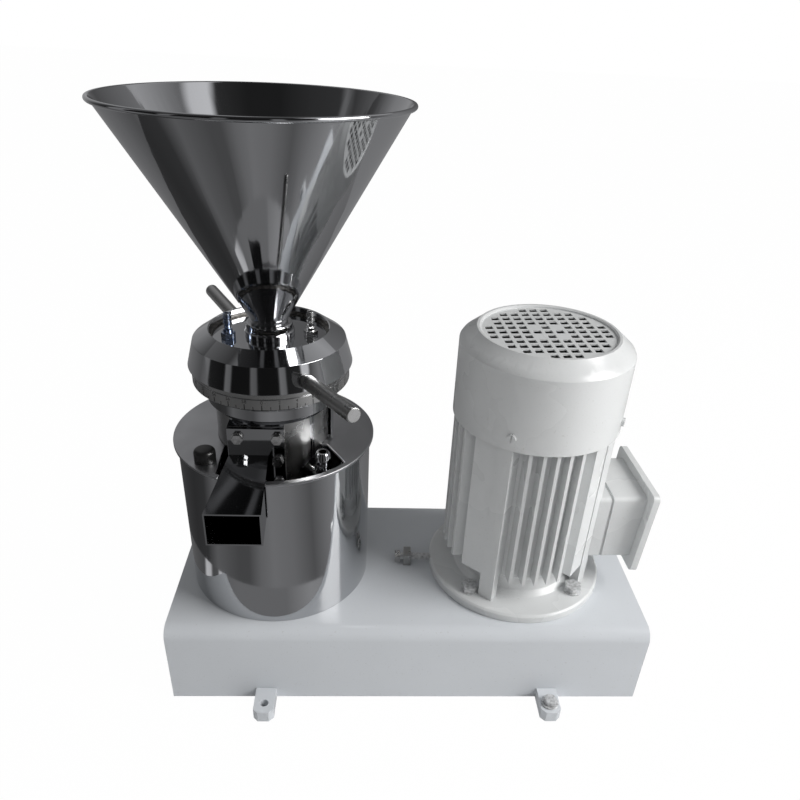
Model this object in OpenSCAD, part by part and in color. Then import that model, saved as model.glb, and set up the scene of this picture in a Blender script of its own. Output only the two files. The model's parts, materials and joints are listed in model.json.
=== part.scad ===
// Split colloid mill: a toothed conical rotor turns inside a toothed stator under a feed hopper.
// A threaded adjusting ring with two locking handles raises the stator and so sets the grinding gap.
// A flange motor stands beside the mill on the same base box and drives it by V-belts underneath.
// Millimetres, +Z up, X along the belt drive, origin on the floor at the centre of the anchor holes.

/* [Base] */
// Length of the base box along the belt drive
base_l = 520; // [500:1:600]
// Width of the base box
base_w = 230; // [228:1:280]
// Height of the base top above the floor
base_h = 100; // [96:1:130]
// Thickness of the base sheet
base_wall = 4; // [3:0.5:6]
// Outside bend radius of the front and back top edges
base_bend_r = 14; // [8:0.5:14]
// Distance between anchor holes along the base
anchor_pitch_x = 314; // [260:1:360]
// Distance from the base wall to an anchor hole
anchor_reach = 20; // [16:1:26]
// Diameter of an anchor hole
anchor_d = 9; // [7:0.5:11]
// Width of an anchor lug
lug_w = 22; // [20:1:30]
// Thickness of an anchor lug
lug_t = 14; // [8:1:18]
// Distance from the mill's end of the base to the mill axis
mill_inset = 112; // [106:1:118]
// Distance from the motor's end of the base to the motor axis
motor_inset = 134; // [108:1:136]

/* [Drum] */
// Outside radius of the drum
drum_r = 99.5; // [96:0.5:101]
// Height of the drum from the base top to the top face of its plate
drum_h = 180; // [176:1:200]
// Sheet thickness of the drum wall
drum_wall = 2.5; // [1.5:0.5:4]
// Thickness of the drum top plate
plate_t = 3; // [2:0.5:4]
// Overhang of the top plate past the drum wall
plate_lip = 4; // [2:0.5:6]
// Radius of the oil plug head on the top plate
plug_r = 10.5; // [9:0.5:12]

/* [Mill housing] */
// Outside radius of the mill housing
housing_r = 58; // [57:0.5:60]
// Outside radius of the threaded spigot that carries the ring
spigot_r = 52; // [51:0.5:53]
// Radius of the bore that guides the stator carrier
guide_r = 48; // [47:0.25:48.5]
// Height of the housing floor below the drum top
housing_drop = 42; // [38:1:48]
// Height of the housing shoulder above the drum top
shoulder_rise = 38; // [36:1:42]
// Length of the threaded spigot above the shoulder
spigot_l = 54; // [48:1:56]

/* [Discharge chute] */
// Distance from the mill axis to the front face of the chute mouth
chute_reach = 130; // [124:1:145]
// Right wall of the chute, measured across from the mill axis
chute_right = 1.5; // [0:0.5:3]
// Width of the chute where it leaves its flange
chute_root_w = 38; // [34:1:40]
// Width of the chute mouth
chute_mouth_w = 53; // [48:1:58]
// Height of the chute duct
chute_duct_h = 36; // [30:1:38]
// Drop of the chute from the flange to the mouth
chute_drop = 23; // [15:1:30]
// Sheet thickness of the chute
chute_wall = 1.5; // [1:0.25:2.5]

/* [Adjusting ring] */
// Greatest radius of the ring, at the lower edge of its band
ring_r = 80.5; // [78:0.5:84]
// Radius of the plain skirt at the foot of the ring
skirt_r = 64.75; // [63:0.25:68]
// Height of the ring from the skirt edge to its top edge
ring_h = 72; // [70:1:76]
// Height of the band above the skirt edge
band_rise = 37; // [32:1:40]
// Height of the band
band_h = 24.5; // [22:0.5:30]
// How much narrower the band is at its top
band_taper = 6.5; // [3:0.5:8]
// Height of the graduated face under the band
scale_h = 18; // [14:0.5:22]
// How far the band overhangs the graduated face
scale_step = 3; // [1.5:0.5:4]
// Radius of the recess in the top of the ring
recess_r = 57.2; // [56.5:0.1:58]
// Radius of a handle rod
handle_r = 7; // [6:0.5:8]
// Distance from the mill axis to the end of a handle
handle_reach = 168; // [150:1:170]
// Upward tilt of a handle
handle_tilt = 5; // [0:0.5:8]
// Angle of the front handle round the mill axis
handle_angle = -59.5; // [-70:0.5:-50]

/* [Hopper] */
// Radius of the hopper at its rim
hopper_r = 131; // [115:1:140]
// Height of the hopper cone
hopper_h = 192; // [160:1:220]
// Radius of the hopper neck
neck_r = 17.7; // [17:0.1:19]
// Sheet thickness of the hopper
hopper_wall = 1.5; // [1:0.25:2]
// Radius of the rolled bead round the rim
bead_r = 2; // [1.5:0.25:3]

/* [Rotor and stator] */
// Radius of the rotor at its lower edge
rotor_r = 26; // [24:0.25:27]
// Height of the rotor
rotor_h = 38; // [34:1:40]
// Radius lost by the rotor for each millimetre of height
rotor_taper = 0.2; // [0.1:0.01:0.22]
// Grinding gap between rotor and stator at the tight setting
grind_gap = 0.6; // [0.4:0.1:1]
// Number of teeth round the rotor
rotor_teeth = 18; // [12:1:22]
// Number of teeth round the stator
stator_teeth = 20; // [12:1:24]
// Radius of the mill shaft
shaft_r = 12.5; // [12:0.25:13]

/* [Belt drive] */
// Outside radius of both belt pulleys
pulley_r = 45; // [40:1:50]
// Height of the lower pulley face above the floor
pulley_z = 48; // [40:1:50]
// Distance between the two belts
belt_pitch = 14; // [13:0.5:16]
// Top width of a belt
belt_w = 9.2; // [8:0.1:10]
// Height of a belt
belt_h = 6; // [5:0.25:7]
// Travel of the motor on its slotted holes
tension_travel = 12; // [6:1:14]

/* [Motor] */
// Outside radius of the motor flange
flange_r = 100; // [98:0.5:101]
// Thickness of the motor flange
flange_t = 10; // [8:0.5:12]
// Pitch circle diameter of the flange bolts
flange_pcd = 165; // [162:1:170]
// Radius of the centring spigot under the flange
register_r = 65; // [62:0.5:66]
// Radius of the motor frame under its fins
frame_r = 70; // [68:0.5:72]
// Radius over the cooling fins
fin_r = 85; // [82:0.5:85.5]
// Thickness of a cooling fin
fin_t = 3.5; // [2.5:0.25:4.5]
// Distance between cooling fins
fin_pitch = 13.4; // [12:0.1:14]
// Length of the finned frame
frame_l = 166; // [150:1:190]
// Height of the flange neck above the flange
neck_h = 30; // [26:1:36]
// Turn of the motor frame on its flange
frame_turn = 4.5; // [0:0.5:6]
// Radius of the fan cover
cover_r = 87.4; // [87:0.1:90]
// Height of the fan cover
cover_h = 94; // [88:1:106]
// Sheet thickness of the fan cover
cover_wall = 1.5; // [1:0.25:2]
// Radius of the perforated disc on the fan cover
grille_r = 71; // [68:0.5:74]
// Distance between grille holes
grille_pitch = 11.6; // [11:0.1:12]
// Width of a square grille hole
grille_hole = 8; // [5:0.25:9]
// Radius of the motor shaft
motor_shaft_r = 12; // [11:0.25:12]
// Width of the terminal box cover
box_cover_w = 110; // [104:1:116]
// Height of the terminal box cover
box_cover_h = 102; // [98:1:108]
// Distance from the motor axis to the outer face of the terminal box cover, at its top
box_reach = 133; // [128:0.5:140]
// Turn of the terminal box about the motor axis
box_turn = 2; // [0:0.5:4]
// Lean of the terminal box cover towards the motor at its foot
lid_lean = 3.3; // [0:0.1:5]

/* [Hidden] */
$fn = 96;

// Clearances
running = 0.08;
loose = 0.4;
turning_gap = 0.3;

// Distances of the two axes from the base centre
mill_offset = base_l / 2 - mill_inset;
motor_offset = base_l / 2 - motor_inset;

// Heights of the mill, from the base upwards
drum_top = base_h + drum_h;
housing_z = drum_top - housing_drop;
housing_floor = 10;
chamber_z = housing_z + housing_floor;
chamber_r = 50;
shoulder_z = drum_top + shoulder_rise;
spigot_top = shoulder_z + spigot_l;
ring_z = shoulder_z + 6;
band_z = ring_z + band_rise;
ring_top = ring_z + ring_h;
carrier_z = ring_top - 18;
floor_z = ring_top - 8;
rotor_z = shoulder_z + 12;
stator_z = rotor_z + 2;
stator_h = rotor_h + 2;
stator_r = 40;
hub_z = floor_z + 13;
cone_z = hub_z + 3;
rim_z = cone_z + hopper_h;

// Bearings of the mill shaft
bearing_r = 26;
bearing_w = 15;
bearing_seal_r = 16;
lower_bearing_z = base_h + 4;
upper_bearing_z = housing_z - 31;
bearing_sleeve_r = 36;
bearing_foot_t = 10;
base_hole_r = 32;
small_bolt_r = 3;
housing_bolt_orbit = 42;
foot_bolt_orbit = 50;

// Mechanical seal on the mill shaft
seal_seat_r = 20;
seal_r = 19;

// Discharge chute, across from the mill axis
chute_flange_w = 54;
chute_flange_left = -37;
chute_flange_t = 4;
chute_flange_h = 67;
gasket_t = 1;
boss_face = 60;
duct_top_z = drum_top + 8;
duct_z = duct_top_z - chute_duct_h;
chute_flange_z = duct_z - 2;
chute_face = boss_face + gasket_t + chute_flange_t;
chute_bolt_r = 3;
chute_bolt_head_r = 5.8;
chute_bolt_x = chute_flange_left + chute_flange_w - 6.5;
chute_bolt_left_x = chute_flange_left + 10;
chute_bolt_top_z = chute_flange_z + chute_flange_h - 9.5;
chute_bolt_pitch = 25.5;
chute_bolts_at = [
    [chute_bolt_x, chute_bolt_top_z],
    [chute_bolt_x, chute_bolt_top_z - chute_bolt_pitch],
    [chute_bolt_x, chute_bolt_top_z - 2 * chute_bolt_pitch],
    [chute_bolt_left_x, chute_bolt_top_z]];

// Top plate of the drum
plate_r = drum_r + plate_lip;
rim_strip = 6;
plug_angle = -134;
plug_orbit = 87;
plug_stem_r = 8;

// Motor heights
flange_top = base_h + flange_t;
frame_z = flange_top + neck_h;
frame_top = frame_z + frame_l;
frame_bore_r = 62;
shield_t = 8;
cover_z = frame_top;
cover_top = cover_z + cover_h;
cover_screw_z = frame_top + 14;
cover_screw_angle = -122;
motor_bolt_r = 5;
motor_bolt_head_r = 9.8;
motor_washer_r = 10;
motor_washer_t = 2;
motor_bearing_z = base_h + 11;
rear_bearing_r = 23.5;
rear_bearing_w = 14;
rear_shaft_r = 10;
rear_bearing_z = frame_top;
flange_neck_r = flange_pcd / 2 - motor_washer_r - 7.5;
motor_core_z = frame_z + 25;
motor_core_l = 100;
motor_core_r = 42;
air_gap = 0.5;
pad_w = 43;
pad_drop = 3.5;
leg_w = 17;
leg_r = fin_r - 2.5;
fan_gap = 24;
fan_z = frame_top + fan_gap;
fan_r = 72;
fan_hub_r = 18;
fan_hub_h = 20;
fan_blade_h = 28;
fan_sheet = 2.5;
shaft_tail = fan_hub_h + 2;

// Terminal box
box_z = frame_z + 3;
box_h = 81;
box_w = 85;
box_wall = 3;
box_edge_r = 5;
terminal_pad_l = 16;
box_root = frame_r + terminal_pad_l;
box_joint = 3;
box_floor = box_root + box_joint + box_wall;
box_cover_t = 7;
box_cover_over = 9.5;
box_face = box_reach - box_cover_t;
box_screw_r = 2;
box_screw_inset = 8;
board_inset = 18;
board_w = 48;
board_t = 8;
stud_r = 2.5;
stud_l = 8;

// Belt tension screw
screw_r = 4;
screw_head_r = 7.5;
screw_z = base_h + screw_head_r + 0.5;
screw_head_l = 6;
flange_edge_x = motor_offset - flange_r;
tension_lug_l = 9;
tension_lug_x = flange_edge_x - 22 - tension_lug_l;
tension_head_x = tension_lug_x - 4;

// Pulley grooves
pulley_w = belt_pitch + 16;
groove_depth = belt_h + 3;
groove_half_angle = 18;
belt_side = 0.5;
belt_sink = 0.6;
belt_outer_r = pulley_r - belt_sink;

stainless = [0.62, 0.62, 0.61];
satin_steel = [0.55, 0.55, 0.53];
white_paint = [0.86, 0.87, 0.88];
dark_steel = [0.35, 0.35, 0.34];
black_plastic = [0.09, 0.09, 0.09];
rubber_black = [0.12, 0.12, 0.12];
tooth_steel = [0.5, 0.5, 0.52];
copper = [0.72, 0.45, 0.28];

// Moves a shape to the mill axis
module at_mill() { translate([-mill_offset, 0, 0]) children(); }

// Moves a shape to the motor axis
module at_motor() { translate([motor_offset, 0, 0]) children(); }

// A ring between two radii and two heights
module ring_solid(outer, inner, z, h) {
    translate([0, 0, z]) difference() {
        cylinder(r = outer, h = h);
        translate([0, 0, -1]) cylinder(r = inner, h = h + 2);
    }
}

// A hexagon head or nut along +Z
module hexagon(r, h) { cylinder(r = r, h = h, $fn = 6); }

// Copies a shape at the four corners of the flange bolt circle
module at_flange_bolts() {
    for (i = [0:3]) rotate([0, 0, 45 + 90 * i]) translate([flange_pcd / 2, 0, 0]) children();
}

// A rounded rectangle in the plane, with one corner at the origin
module rounded_plate(w, h, r) {
    translate([r, 0]) square([w - 2 * r, h]);
    translate([0, r]) square([w, h - 2 * r]);
    for (x = [r, w - r], y = [r, h - r]) translate([x, y]) circle(r = r);
}

// Section of the folded base: flat floor side, two round top corners
module base_section(w, h, r) {
    translate([-w / 2, 0]) square([w, h - r]);
    translate([-w / 2 + r, 0]) square([w - 2 * r, h]);
    for (s = [-1, 1]) translate([s * (w / 2 - r), h - r]) circle(r = r);
}

// A slot along X that lets a stud of the given radius travel towards the mill
module travel_slot(r) {
    translate([0, 0, base_h - base_wall - 1]) linear_extrude(base_wall + 2) {
        circle(r = r);
        translate([-tension_travel, -r]) square([tension_travel, 2 * r]);
        translate([-tension_travel, 0]) circle(r = r);
    }
}

module base_frame() {
    color(white_paint) difference() {
        union() {
            translate([-base_l / 2, 0, 0]) rotate([90, 0, 90]) linear_extrude(base_l) difference() {
                base_section(base_w, base_h, base_bend_r);
                base_section(base_w - 2 * base_wall, base_h - base_wall, base_bend_r - base_wall);
            }
            for (x = [-base_l / 2, base_l / 2 - base_wall]) translate([x, 0, 0]) rotate([90, 0, 90])
                linear_extrude(base_wall) base_section(base_w - 1, base_h - 0.5, base_bend_r - 0.5);
        }
        at_mill() translate([0, 0, base_h - base_wall - 1]) cylinder(r = base_hole_r, h = base_wall + 2);
        at_mill() at_foot_bolts() translate([0, 0, -bearing_foot_t - base_wall - 1])
            cylinder(r = small_bolt_r, h = base_wall + 2);
        at_motor() travel_slot(register_r + 1);
        at_motor() at_flange_bolts_square() travel_slot(motor_bolt_r + 1);
    }
}

// The flange bolt places, without turning the shape
module at_flange_bolts_square() {
    d = flange_pcd / 2 * cos(45);
    for (x = [-d, d], y = [-d, d]) translate([x, y, 0]) children();
}

module anchor_lugs() {
    nose = 5;
    reach = anchor_reach + 13;
    color(white_paint) for (sx = [-1, 1], sy = [-1, 1])
        translate([sx * anchor_pitch_x / 2, sy * base_w / 2, 0]) rotate([0, 0, sy > 0 ? 0 : 180])
            linear_extrude(lug_t) difference() {
                polygon([[-lug_w / 2, 0], [lug_w / 2, 0], [lug_w / 2, reach - nose],
                    [lug_w / 2 - nose, reach], [-lug_w / 2 + nose, reach], [-lug_w / 2, reach - nose]]);
                translate([0, anchor_reach]) circle(d = anchor_d);
            }
}

// Notch for the chute in the drum wall and the plate: the outline of the duct, open upwards
module chute_notch() {
    gap = 0.5;
    for (rise = [0, chute_duct_h / 2]) translate([0, 0, rise]) duct(-gap, 1);
}

module drum() {
    color(stainless) at_mill() difference() {
        ring_solid(drum_r, drum_r - drum_wall, base_h, drum_h - plate_t);
        chute_notch();
    }
}

// Front cut-out of the top plate, which gives access to the chute bolts and the drain fitting
module plate_cutout() {
    left = chute_right - chute_mouth_w + 5;
    intersection() {
        circle(r = plate_r - rim_strip);
        polygon([[left, -30], [left, -plate_r], [plate_r - 4, -plate_r], [housing_r - 2, -29]]);
    }
}

module drum_top_plate() {
    color(satin_steel) at_mill() difference() {
        translate([0, 0, drum_top - plate_t]) linear_extrude(plate_t) difference() {
            circle(r = plate_r);
            circle(r = housing_r);
            plate_cutout();
        }
        chute_notch();
        rotate([0, 0, plug_angle]) translate([plug_orbit, 0, drum_top - plate_t - 1])
            cylinder(r = plug_stem_r, h = plate_t + 2);
    }
}

module oil_plug() {
    head_h = 13;
    color(black_plastic) at_mill() rotate([0, 0, plug_angle]) translate([plug_orbit, 0, drum_top])
        rotate_extrude() polygon(concat(
            [[0, -plate_t - 4], [plug_stem_r, -plate_t - 4], [plug_stem_r, 0], [plug_r, 0]],
            [for (a = [0:15:90]) [plug_r - 4 + 4 * cos(a), head_h - 4 + 4 * sin(a)]],
            [[0, head_h]]));
}

module bearing_housing() {
    foot_r = 60;
    head_r = 48;
    foot_t = bearing_foot_t;
    color(dark_steel) at_mill() difference() {
        rotate_extrude() polygon([
            [30, base_h], [foot_r, base_h], [foot_r, base_h + foot_t],
            [bearing_sleeve_r + 4, base_h + foot_t], [bearing_sleeve_r, base_h + foot_t + 6],
            [bearing_sleeve_r, housing_z - 14], [bearing_sleeve_r + 4, housing_z - 10],
            [head_r, housing_z - 10], [head_r, housing_z], [bearing_r, housing_z],
            [bearing_r, upper_bearing_z], [22, upper_bearing_z], [22, lower_bearing_z + bearing_w],
            [bearing_r, lower_bearing_z + bearing_w], [bearing_r, lower_bearing_z], [30, lower_bearing_z]]);
        at_housing_bolts() translate([0, 0, -9]) cylinder(r = small_bolt_r, h = 10);
        at_foot_bolts() translate([0, 0, -foot_t - 1]) cylinder(r = small_bolt_r, h = foot_t + 2);
    }
}

// Places of the four bolts in the floor of the mill housing, on the joint with the bearing housing
module at_housing_bolts() {
    for (i = [0:3]) rotate([0, 0, 45 + 90 * i]) translate([housing_bolt_orbit, 0, housing_z]) children();
}

// Places of the four bolts on the foot of the bearing housing
module at_foot_bolts() {
    for (i = [0:3]) rotate([0, 0, 45 + 90 * i])
        translate([foot_bolt_orbit, 0, base_h + bearing_foot_t]) children();
}

// Outer ring of a sealed ball bearing, with its two seals
module outer_ring(outer, seal, z, w) { ring_solid(outer, seal + turning_gap, z, w); }

module mill_bearings() {
    color("gray") at_mill() {
        outer_ring(bearing_r, bearing_seal_r, lower_bearing_z, bearing_w);
        outer_ring(bearing_r, bearing_seal_r, upper_bearing_z, bearing_w);
    }
}

module mill_inner_rings() {
    color("silver") at_mill() {
        ring_solid(bearing_seal_r, shaft_r, lower_bearing_z, bearing_w);
        ring_solid(bearing_seal_r, shaft_r, upper_bearing_z, bearing_w);
    }
}

module bearing_cover() {
    color(dark_steel) at_mill() ring_solid(30, shaft_r + loose, base_h, lower_bearing_z - base_h);
}

module mill_housing() {
    color(stainless) at_mill() difference() {
        union() {
            translate([0, 0, housing_z]) cylinder(r = housing_r, h = shoulder_z - housing_z);
            translate([0, 0, shoulder_z]) cylinder(r = spigot_r, h = spigot_l);
            translate([chute_flange_left, -boss_face, chute_flange_z])
                cube([chute_flange_w, boss_face - 30, min(chute_flange_h, shoulder_z - chute_flange_z)]);
        }
        translate([0, 0, housing_z - 1]) cylinder(r = seal_seat_r, h = housing_floor + 2);
        translate([0, 0, chamber_z]) cylinder(r = chamber_r, h = shoulder_z - 6 - chamber_z);
        translate([0, 0, shoulder_z - 7]) cylinder(r = guide_r, h = spigot_l + 8);
        translate([chute_right - chute_root_w + chute_wall, -boss_face - 1, duct_z + chute_wall])
            cube([chute_root_w - 2 * chute_wall, boss_face - 19, chute_duct_h - 2 * chute_wall]);
        for (p = chute_bolts_at) translate([p[0], -boss_face - 1, p[1]]) rotate([-90, 0, 0])
            cylinder(r = chute_bolt_r, h = 9);
        rotate([0, 0, drain_angle]) translate([chamber_r - 1, 0, drain_z]) rotate([0, 90, 0])
            cylinder(r = drain_stub_r, h = housing_r - chamber_r + 2);
        at_housing_bolts() translate([0, 0, -1]) cylinder(r = small_bolt_r, h = housing_floor + 2);
    }
}

module housing_bolts() {
    under = bearing_foot_t + base_wall;
    color("silver") at_mill() {
        at_housing_bolts() {
            translate([0, 0, -9]) cylinder(r = small_bolt_r, h = housing_floor + 9.5);
            translate([0, 0, housing_floor]) hexagon(5.8, 4);
        }
        at_foot_bolts() {
            translate([0, 0, -under - 8]) cylinder(r = small_bolt_r, h = under + 8.5);
            hexagon(5.8, 4);
            translate([0, 0, -under - 5]) hexagon(5.8, 5);
        }
    }
}

module seal_seat() {
    color("dimgray") at_mill() ring_solid(seal_seat_r, shaft_r + loose, housing_z, housing_floor + 3);
}

module seal_ring() {
    color(rubber_black) at_mill()
        ring_solid(seal_r, shaft_r, chamber_z + 3 + turning_gap, rotor_z - chamber_z - 3 - turning_gap);
}

// A rectangle of the duct at a distance in front of the mill axis, inset by the sheet
module duct_slab(y, width, z, inset) {
    translate([chute_right - width + inset, -y - 0.005, z + inset])
        cube([width - 2 * inset, 0.01, chute_duct_h - 2 * inset]);
}

// The duct from a start distance to an end distance, following its flare and its fall
module duct(inset, extra) {
    slope_w = (chute_mouth_w - chute_root_w) / (chute_reach - chute_face);
    slope_z = chute_drop / (chute_reach - chute_face);
    hull() {
        duct_slab(chute_face - extra, chute_root_w - slope_w * extra, duct_z + slope_z * extra, inset);
        duct_slab(chute_reach + extra, chute_mouth_w + slope_w * extra,
            duct_z - chute_drop - slope_z * extra, inset);
    }
}

module discharge_chute() {
    color(stainless) at_mill() difference() {
        union() {
            duct(0, 0);
            translate([chute_flange_left, -chute_face, chute_flange_z])
                cube([chute_flange_w, chute_flange_t, chute_flange_h]);
        }
        duct(chute_wall, 1);
        translate([chute_right - chute_root_w + chute_wall, -chute_face - 0.2, duct_z + chute_wall])
            cube([chute_root_w - 2 * chute_wall, chute_flange_t + 1, chute_duct_h - 2 * chute_wall]);
        for (p = chute_bolts_at) translate([p[0], -chute_face - 1, p[1]]) rotate([-90, 0, 0])
            cylinder(r = chute_bolt_r + 0.2, h = chute_flange_t + 2);
    }
}

module chute_gasket() {
    color(rubber_black) at_mill() difference() {
        translate([chute_flange_left, -boss_face - gasket_t, chute_flange_z])
            cube([chute_flange_w, gasket_t, chute_flange_h]);
        translate([chute_right - chute_root_w + chute_wall, -boss_face - 2, duct_z + chute_wall])
            cube([chute_root_w - 2 * chute_wall, 3, chute_duct_h - 2 * chute_wall]);
        for (p = chute_bolts_at) translate([p[0], -boss_face - 2, p[1]]) rotate([-90, 0, 0])
            cylinder(r = chute_bolt_r + 0.2, h = 3);
    }
}

module chute_bolts() {
    grip = chute_flange_t + gasket_t + 8;
    color("silver") at_mill() for (p = chute_bolts_at)
        translate([p[0], -chute_face, p[1]]) rotate([90, 0, 0]) {
            translate([0, 0, -grip]) cylinder(r = chute_bolt_r, h = grip + 0.5);
            cylinder(r = chute_bolt_head_r, h = 1);
            translate([0, 0, 1]) hexagon(chute_bolt_head_r - 0.3, 4);
        }
}

// Ribbed hose elbow that drains the seal chamber, standing in the cut-out of the top plate
drain_angle = -45;
drain_orbit = 75;
drain_z = chamber_z + 8;
drain_stub_r = 5;
drain_barb_r = 8.5;
module drain_fitting() {
    top = drum_top + 6;
    color(stainless) at_mill() rotate([0, 0, drain_angle]) {
        translate([chamber_r, 0, drain_z]) rotate([0, 90, 0])
            cylinder(r = drain_stub_r, h = drain_orbit - chamber_r);
        translate([drain_orbit, 0, 0]) rotate_extrude() polygon(concat(
            [[0, drain_z - 7], [7, drain_z - 7], [7, drain_z + 7]],
            [for (i = [0:2]) each [[drain_barb_r - 2, top - 20 + 6.5 * i],
                [drain_barb_r, top - 19 + 6.5 * i], [drain_barb_r - 1.5, top - 14.5 + 6.5 * i]]],
            [[drain_barb_r - 2.5, top], [4, top], [4, drain_z + 8], [0, drain_z + 8]]));
    }
}

// Index plate on the housing that reads the ring's graduated skirt
pointer_angle = -15;
module scale_pointer() {
    color(stainless) at_mill() difference() {
        rotate([0, 0, pointer_angle]) translate([housing_r - 3, -4, drum_top + 2])
            cube([8, 8, ring_z - drum_top - 5]);
        translate([0, 0, drum_top]) cylinder(r = housing_r, h = shoulder_z - drum_top);
        translate([0, 0, shoulder_z]) cylinder(r = skirt_r - 2, h = ring_z - shoulder_z);
    }
}

module tension_lug() {
    half = 8;
    color(dark_steel) translate([tension_lug_x, -half, base_h]) difference() {
        cube([tension_lug_l, 2 * half, 2 * half]);
        translate([-1, half, screw_z - base_h]) rotate([0, 90, 0])
            cylinder(r = screw_r + running, h = tension_lug_l + 2);
    }
}

module tension_screw() {
    tip_gap = 0.3;
    color(dark_steel) translate([tension_head_x, 0, screw_z]) rotate([0, 90, 0]) {
        cylinder(r = screw_r, h = flange_edge_x - tip_gap - tension_head_x);
        translate([0, 0, -screw_head_l]) hexagon(screw_head_r, screw_head_l);
    }
}

// Section of one belt, across the outer radius of its loop
module belt_section() {
    narrow = belt_h * tan(groove_half_angle);
    polygon([[belt_outer_r, -belt_w / 2], [belt_outer_r, belt_w / 2],
        [belt_outer_r - belt_h, belt_w / 2 - narrow], [belt_outer_r - belt_h, -belt_w / 2 + narrow]]);
}

module drive_belts() {
    span = mill_offset + motor_offset;
    color(rubber_black) for (s = [-1, 1]) translate([0, 0, pulley_z + pulley_w / 2 + s * belt_pitch / 2]) {
        at_mill() rotate([0, 0, 90]) rotate_extrude(angle = 180) belt_section();
        at_motor() rotate([0, 0, -90]) rotate_extrude(angle = 180) belt_section();
        for (side = [0, 180]) at_mill() rotate([0, 0, side]) translate([side == 0 ? 0 : -span, 0, 0])
            rotate([90, 0, 90]) linear_extrude(span) belt_section();
    }
}

// A pulley with one V groove for each belt, bored for its shaft
module pulley(bore) {
    mouth = belt_w / 2 + belt_side + belt_sink * tan(groove_half_angle);
    root = mouth - groove_depth * tan(groove_half_angle);
    translate([0, 0, pulley_z]) rotate_extrude() difference() {
        translate([bore, 0]) square([pulley_r - bore, pulley_w]);
        for (s = [-1, 1]) translate([0, pulley_w / 2 + s * belt_pitch / 2]) polygon([
            [pulley_r + 1, mouth + tan(groove_half_angle)], [pulley_r - groove_depth, root],
            [pulley_r - groove_depth, -root], [pulley_r + 1, -mouth - tan(groove_half_angle)]]);
    }
}

module mill_pulley() { color("dimgray") at_mill() pulley(shaft_r); }

module motor_pulley() { color("dimgray") at_motor() pulley(motor_shaft_r); }

module mill_shaft() {
    color("silver") at_mill() translate([0, 0, pulley_z])
        cylinder(r = shaft_r, h = rotor_z + rotor_h - 4 - pulley_z);
}

// Slots cut round a cone, each one leaning across the surface like the teeth of a grinding cone
module tooth_slots(count, r, z, h, depth, width, lean) {
    for (i = [0:count - 1]) rotate([0, 0, 360 * i / count]) translate([r, 0, z + h / 2])
        rotate([lean, 0, 0]) translate([-depth, -width / 2, -h]) cube([2 * depth, width, 2 * h]);
}

module rotor() {
    slot_depth = 2.5;
    slot_w = 3;
    lean = 18;
    color(tooth_steel) at_mill() difference() {
        translate([0, 0, rotor_z])
            cylinder(r1 = rotor_r, r2 = rotor_r - rotor_h * rotor_taper, h = rotor_h);
        translate([0, 0, rotor_z - 1]) cylinder(r = shaft_r, h = rotor_h + 2);
        tooth_slots(rotor_teeth, rotor_r - 0.5 * rotor_h * rotor_taper + 1.5, rotor_z, rotor_h,
            slot_depth + 1.5, slot_w, lean);
    }
}

module rotor_nut() {
    z = rotor_z + rotor_h;
    color("silver") at_mill() rotate_extrude() polygon([[0, z - 4], [shaft_r, z - 4], [shaft_r, z], [14, z],
        [14, z + 3], [8, z + 9], [0, z + 11]]);
}

module stator() {
    slot_depth = 2.5;
    slot_w = 3;
    lean = -18;
    foot_r = rotor_r + grind_gap - (stator_z - rotor_z) * rotor_taper;
    color(tooth_steel) at_mill() difference() {
        translate([0, 0, stator_z]) cylinder(r = stator_r, h = stator_h);
        translate([0, 0, stator_z - 1])
            cylinder(r1 = foot_r + rotor_taper, r2 = foot_r - (stator_h + 1) * rotor_taper,
                h = stator_h + 2);
        tooth_slots(stator_teeth, foot_r - 0.5 * stator_h * rotor_taper - 1.5, stator_z, stator_h,
            slot_depth + 1.5, slot_w, lean);
    }
}

nipple_orbit = 40;
nipple_angles = [-4, 200];
nipple_stem_r = 3.5;

// Places of the cooling nipples on the floor of the ring's recess
module at_nipples() {
    for (a = nipple_angles) rotate([0, 0, a]) translate([nipple_orbit, 0, floor_z]) children();
}

module stator_carrier() {
    sleeve_r = guide_r - running;
    top = stator_z + stator_h;
    groove_z = stator_z + 18;
    color(stainless) at_mill() difference() {
        rotate_extrude() polygon([
            [neck_r, top], [stator_r, top], [stator_r, stator_z], [sleeve_r, stator_z],
            [sleeve_r, groove_z], [sleeve_r - 2.5, groove_z], [sleeve_r - 2.5, groove_z + 3],
            [sleeve_r, groove_z + 3],
            [sleeve_r, carrier_z + 0.05], [recess_r - turning_gap, carrier_z + 0.05],
            [recess_r - turning_gap, floor_z], [neck_r, floor_z]]);
        at_nipples() translate([0, 0, -6]) cylinder(r = nipple_stem_r, h = 7);
    }
}

module carrier_o_ring() {
    section_r = 1.25;
    color(rubber_black) at_mill() translate([0, 0, stator_z + 19.5]) rotate_extrude()
        translate([guide_r - running - 2.5 + section_r, 0]) circle(r = section_r, $fn = 24);
}

// Rounded throat between the neck and the cone, for an outer radius at the neck
function throat(r) = let (k = (hopper_r - neck_r) / hopper_h, a = cone_z - hub_z, b = 9)
    [for (t = [0:0.2:1]) [r + t * t * b * k, cone_z - a * (1 - t) * (1 - t) + b * t * t]];

module hopper() {
    lean = atan((hopper_r - neck_r) / hopper_h);
    inner = throat(neck_r - hopper_wall);
    color(stainless) at_mill() rotate_extrude() {
        polygon(concat(
            [[neck_r - hopper_wall, floor_z - 8], [neck_r, floor_z - 8]],
            throat(neck_r),
            [[hopper_r, rim_z], [hopper_r - hopper_wall, rim_z]],
            [for (i = [len(inner) - 1:-1:0]) inner[i]]));
        translate([hopper_r - hopper_wall + bead_r * cos(lean), rim_z - bead_r * sin(lean)])
            circle(r = bead_r, $fn = 32);
    }
}

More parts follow.
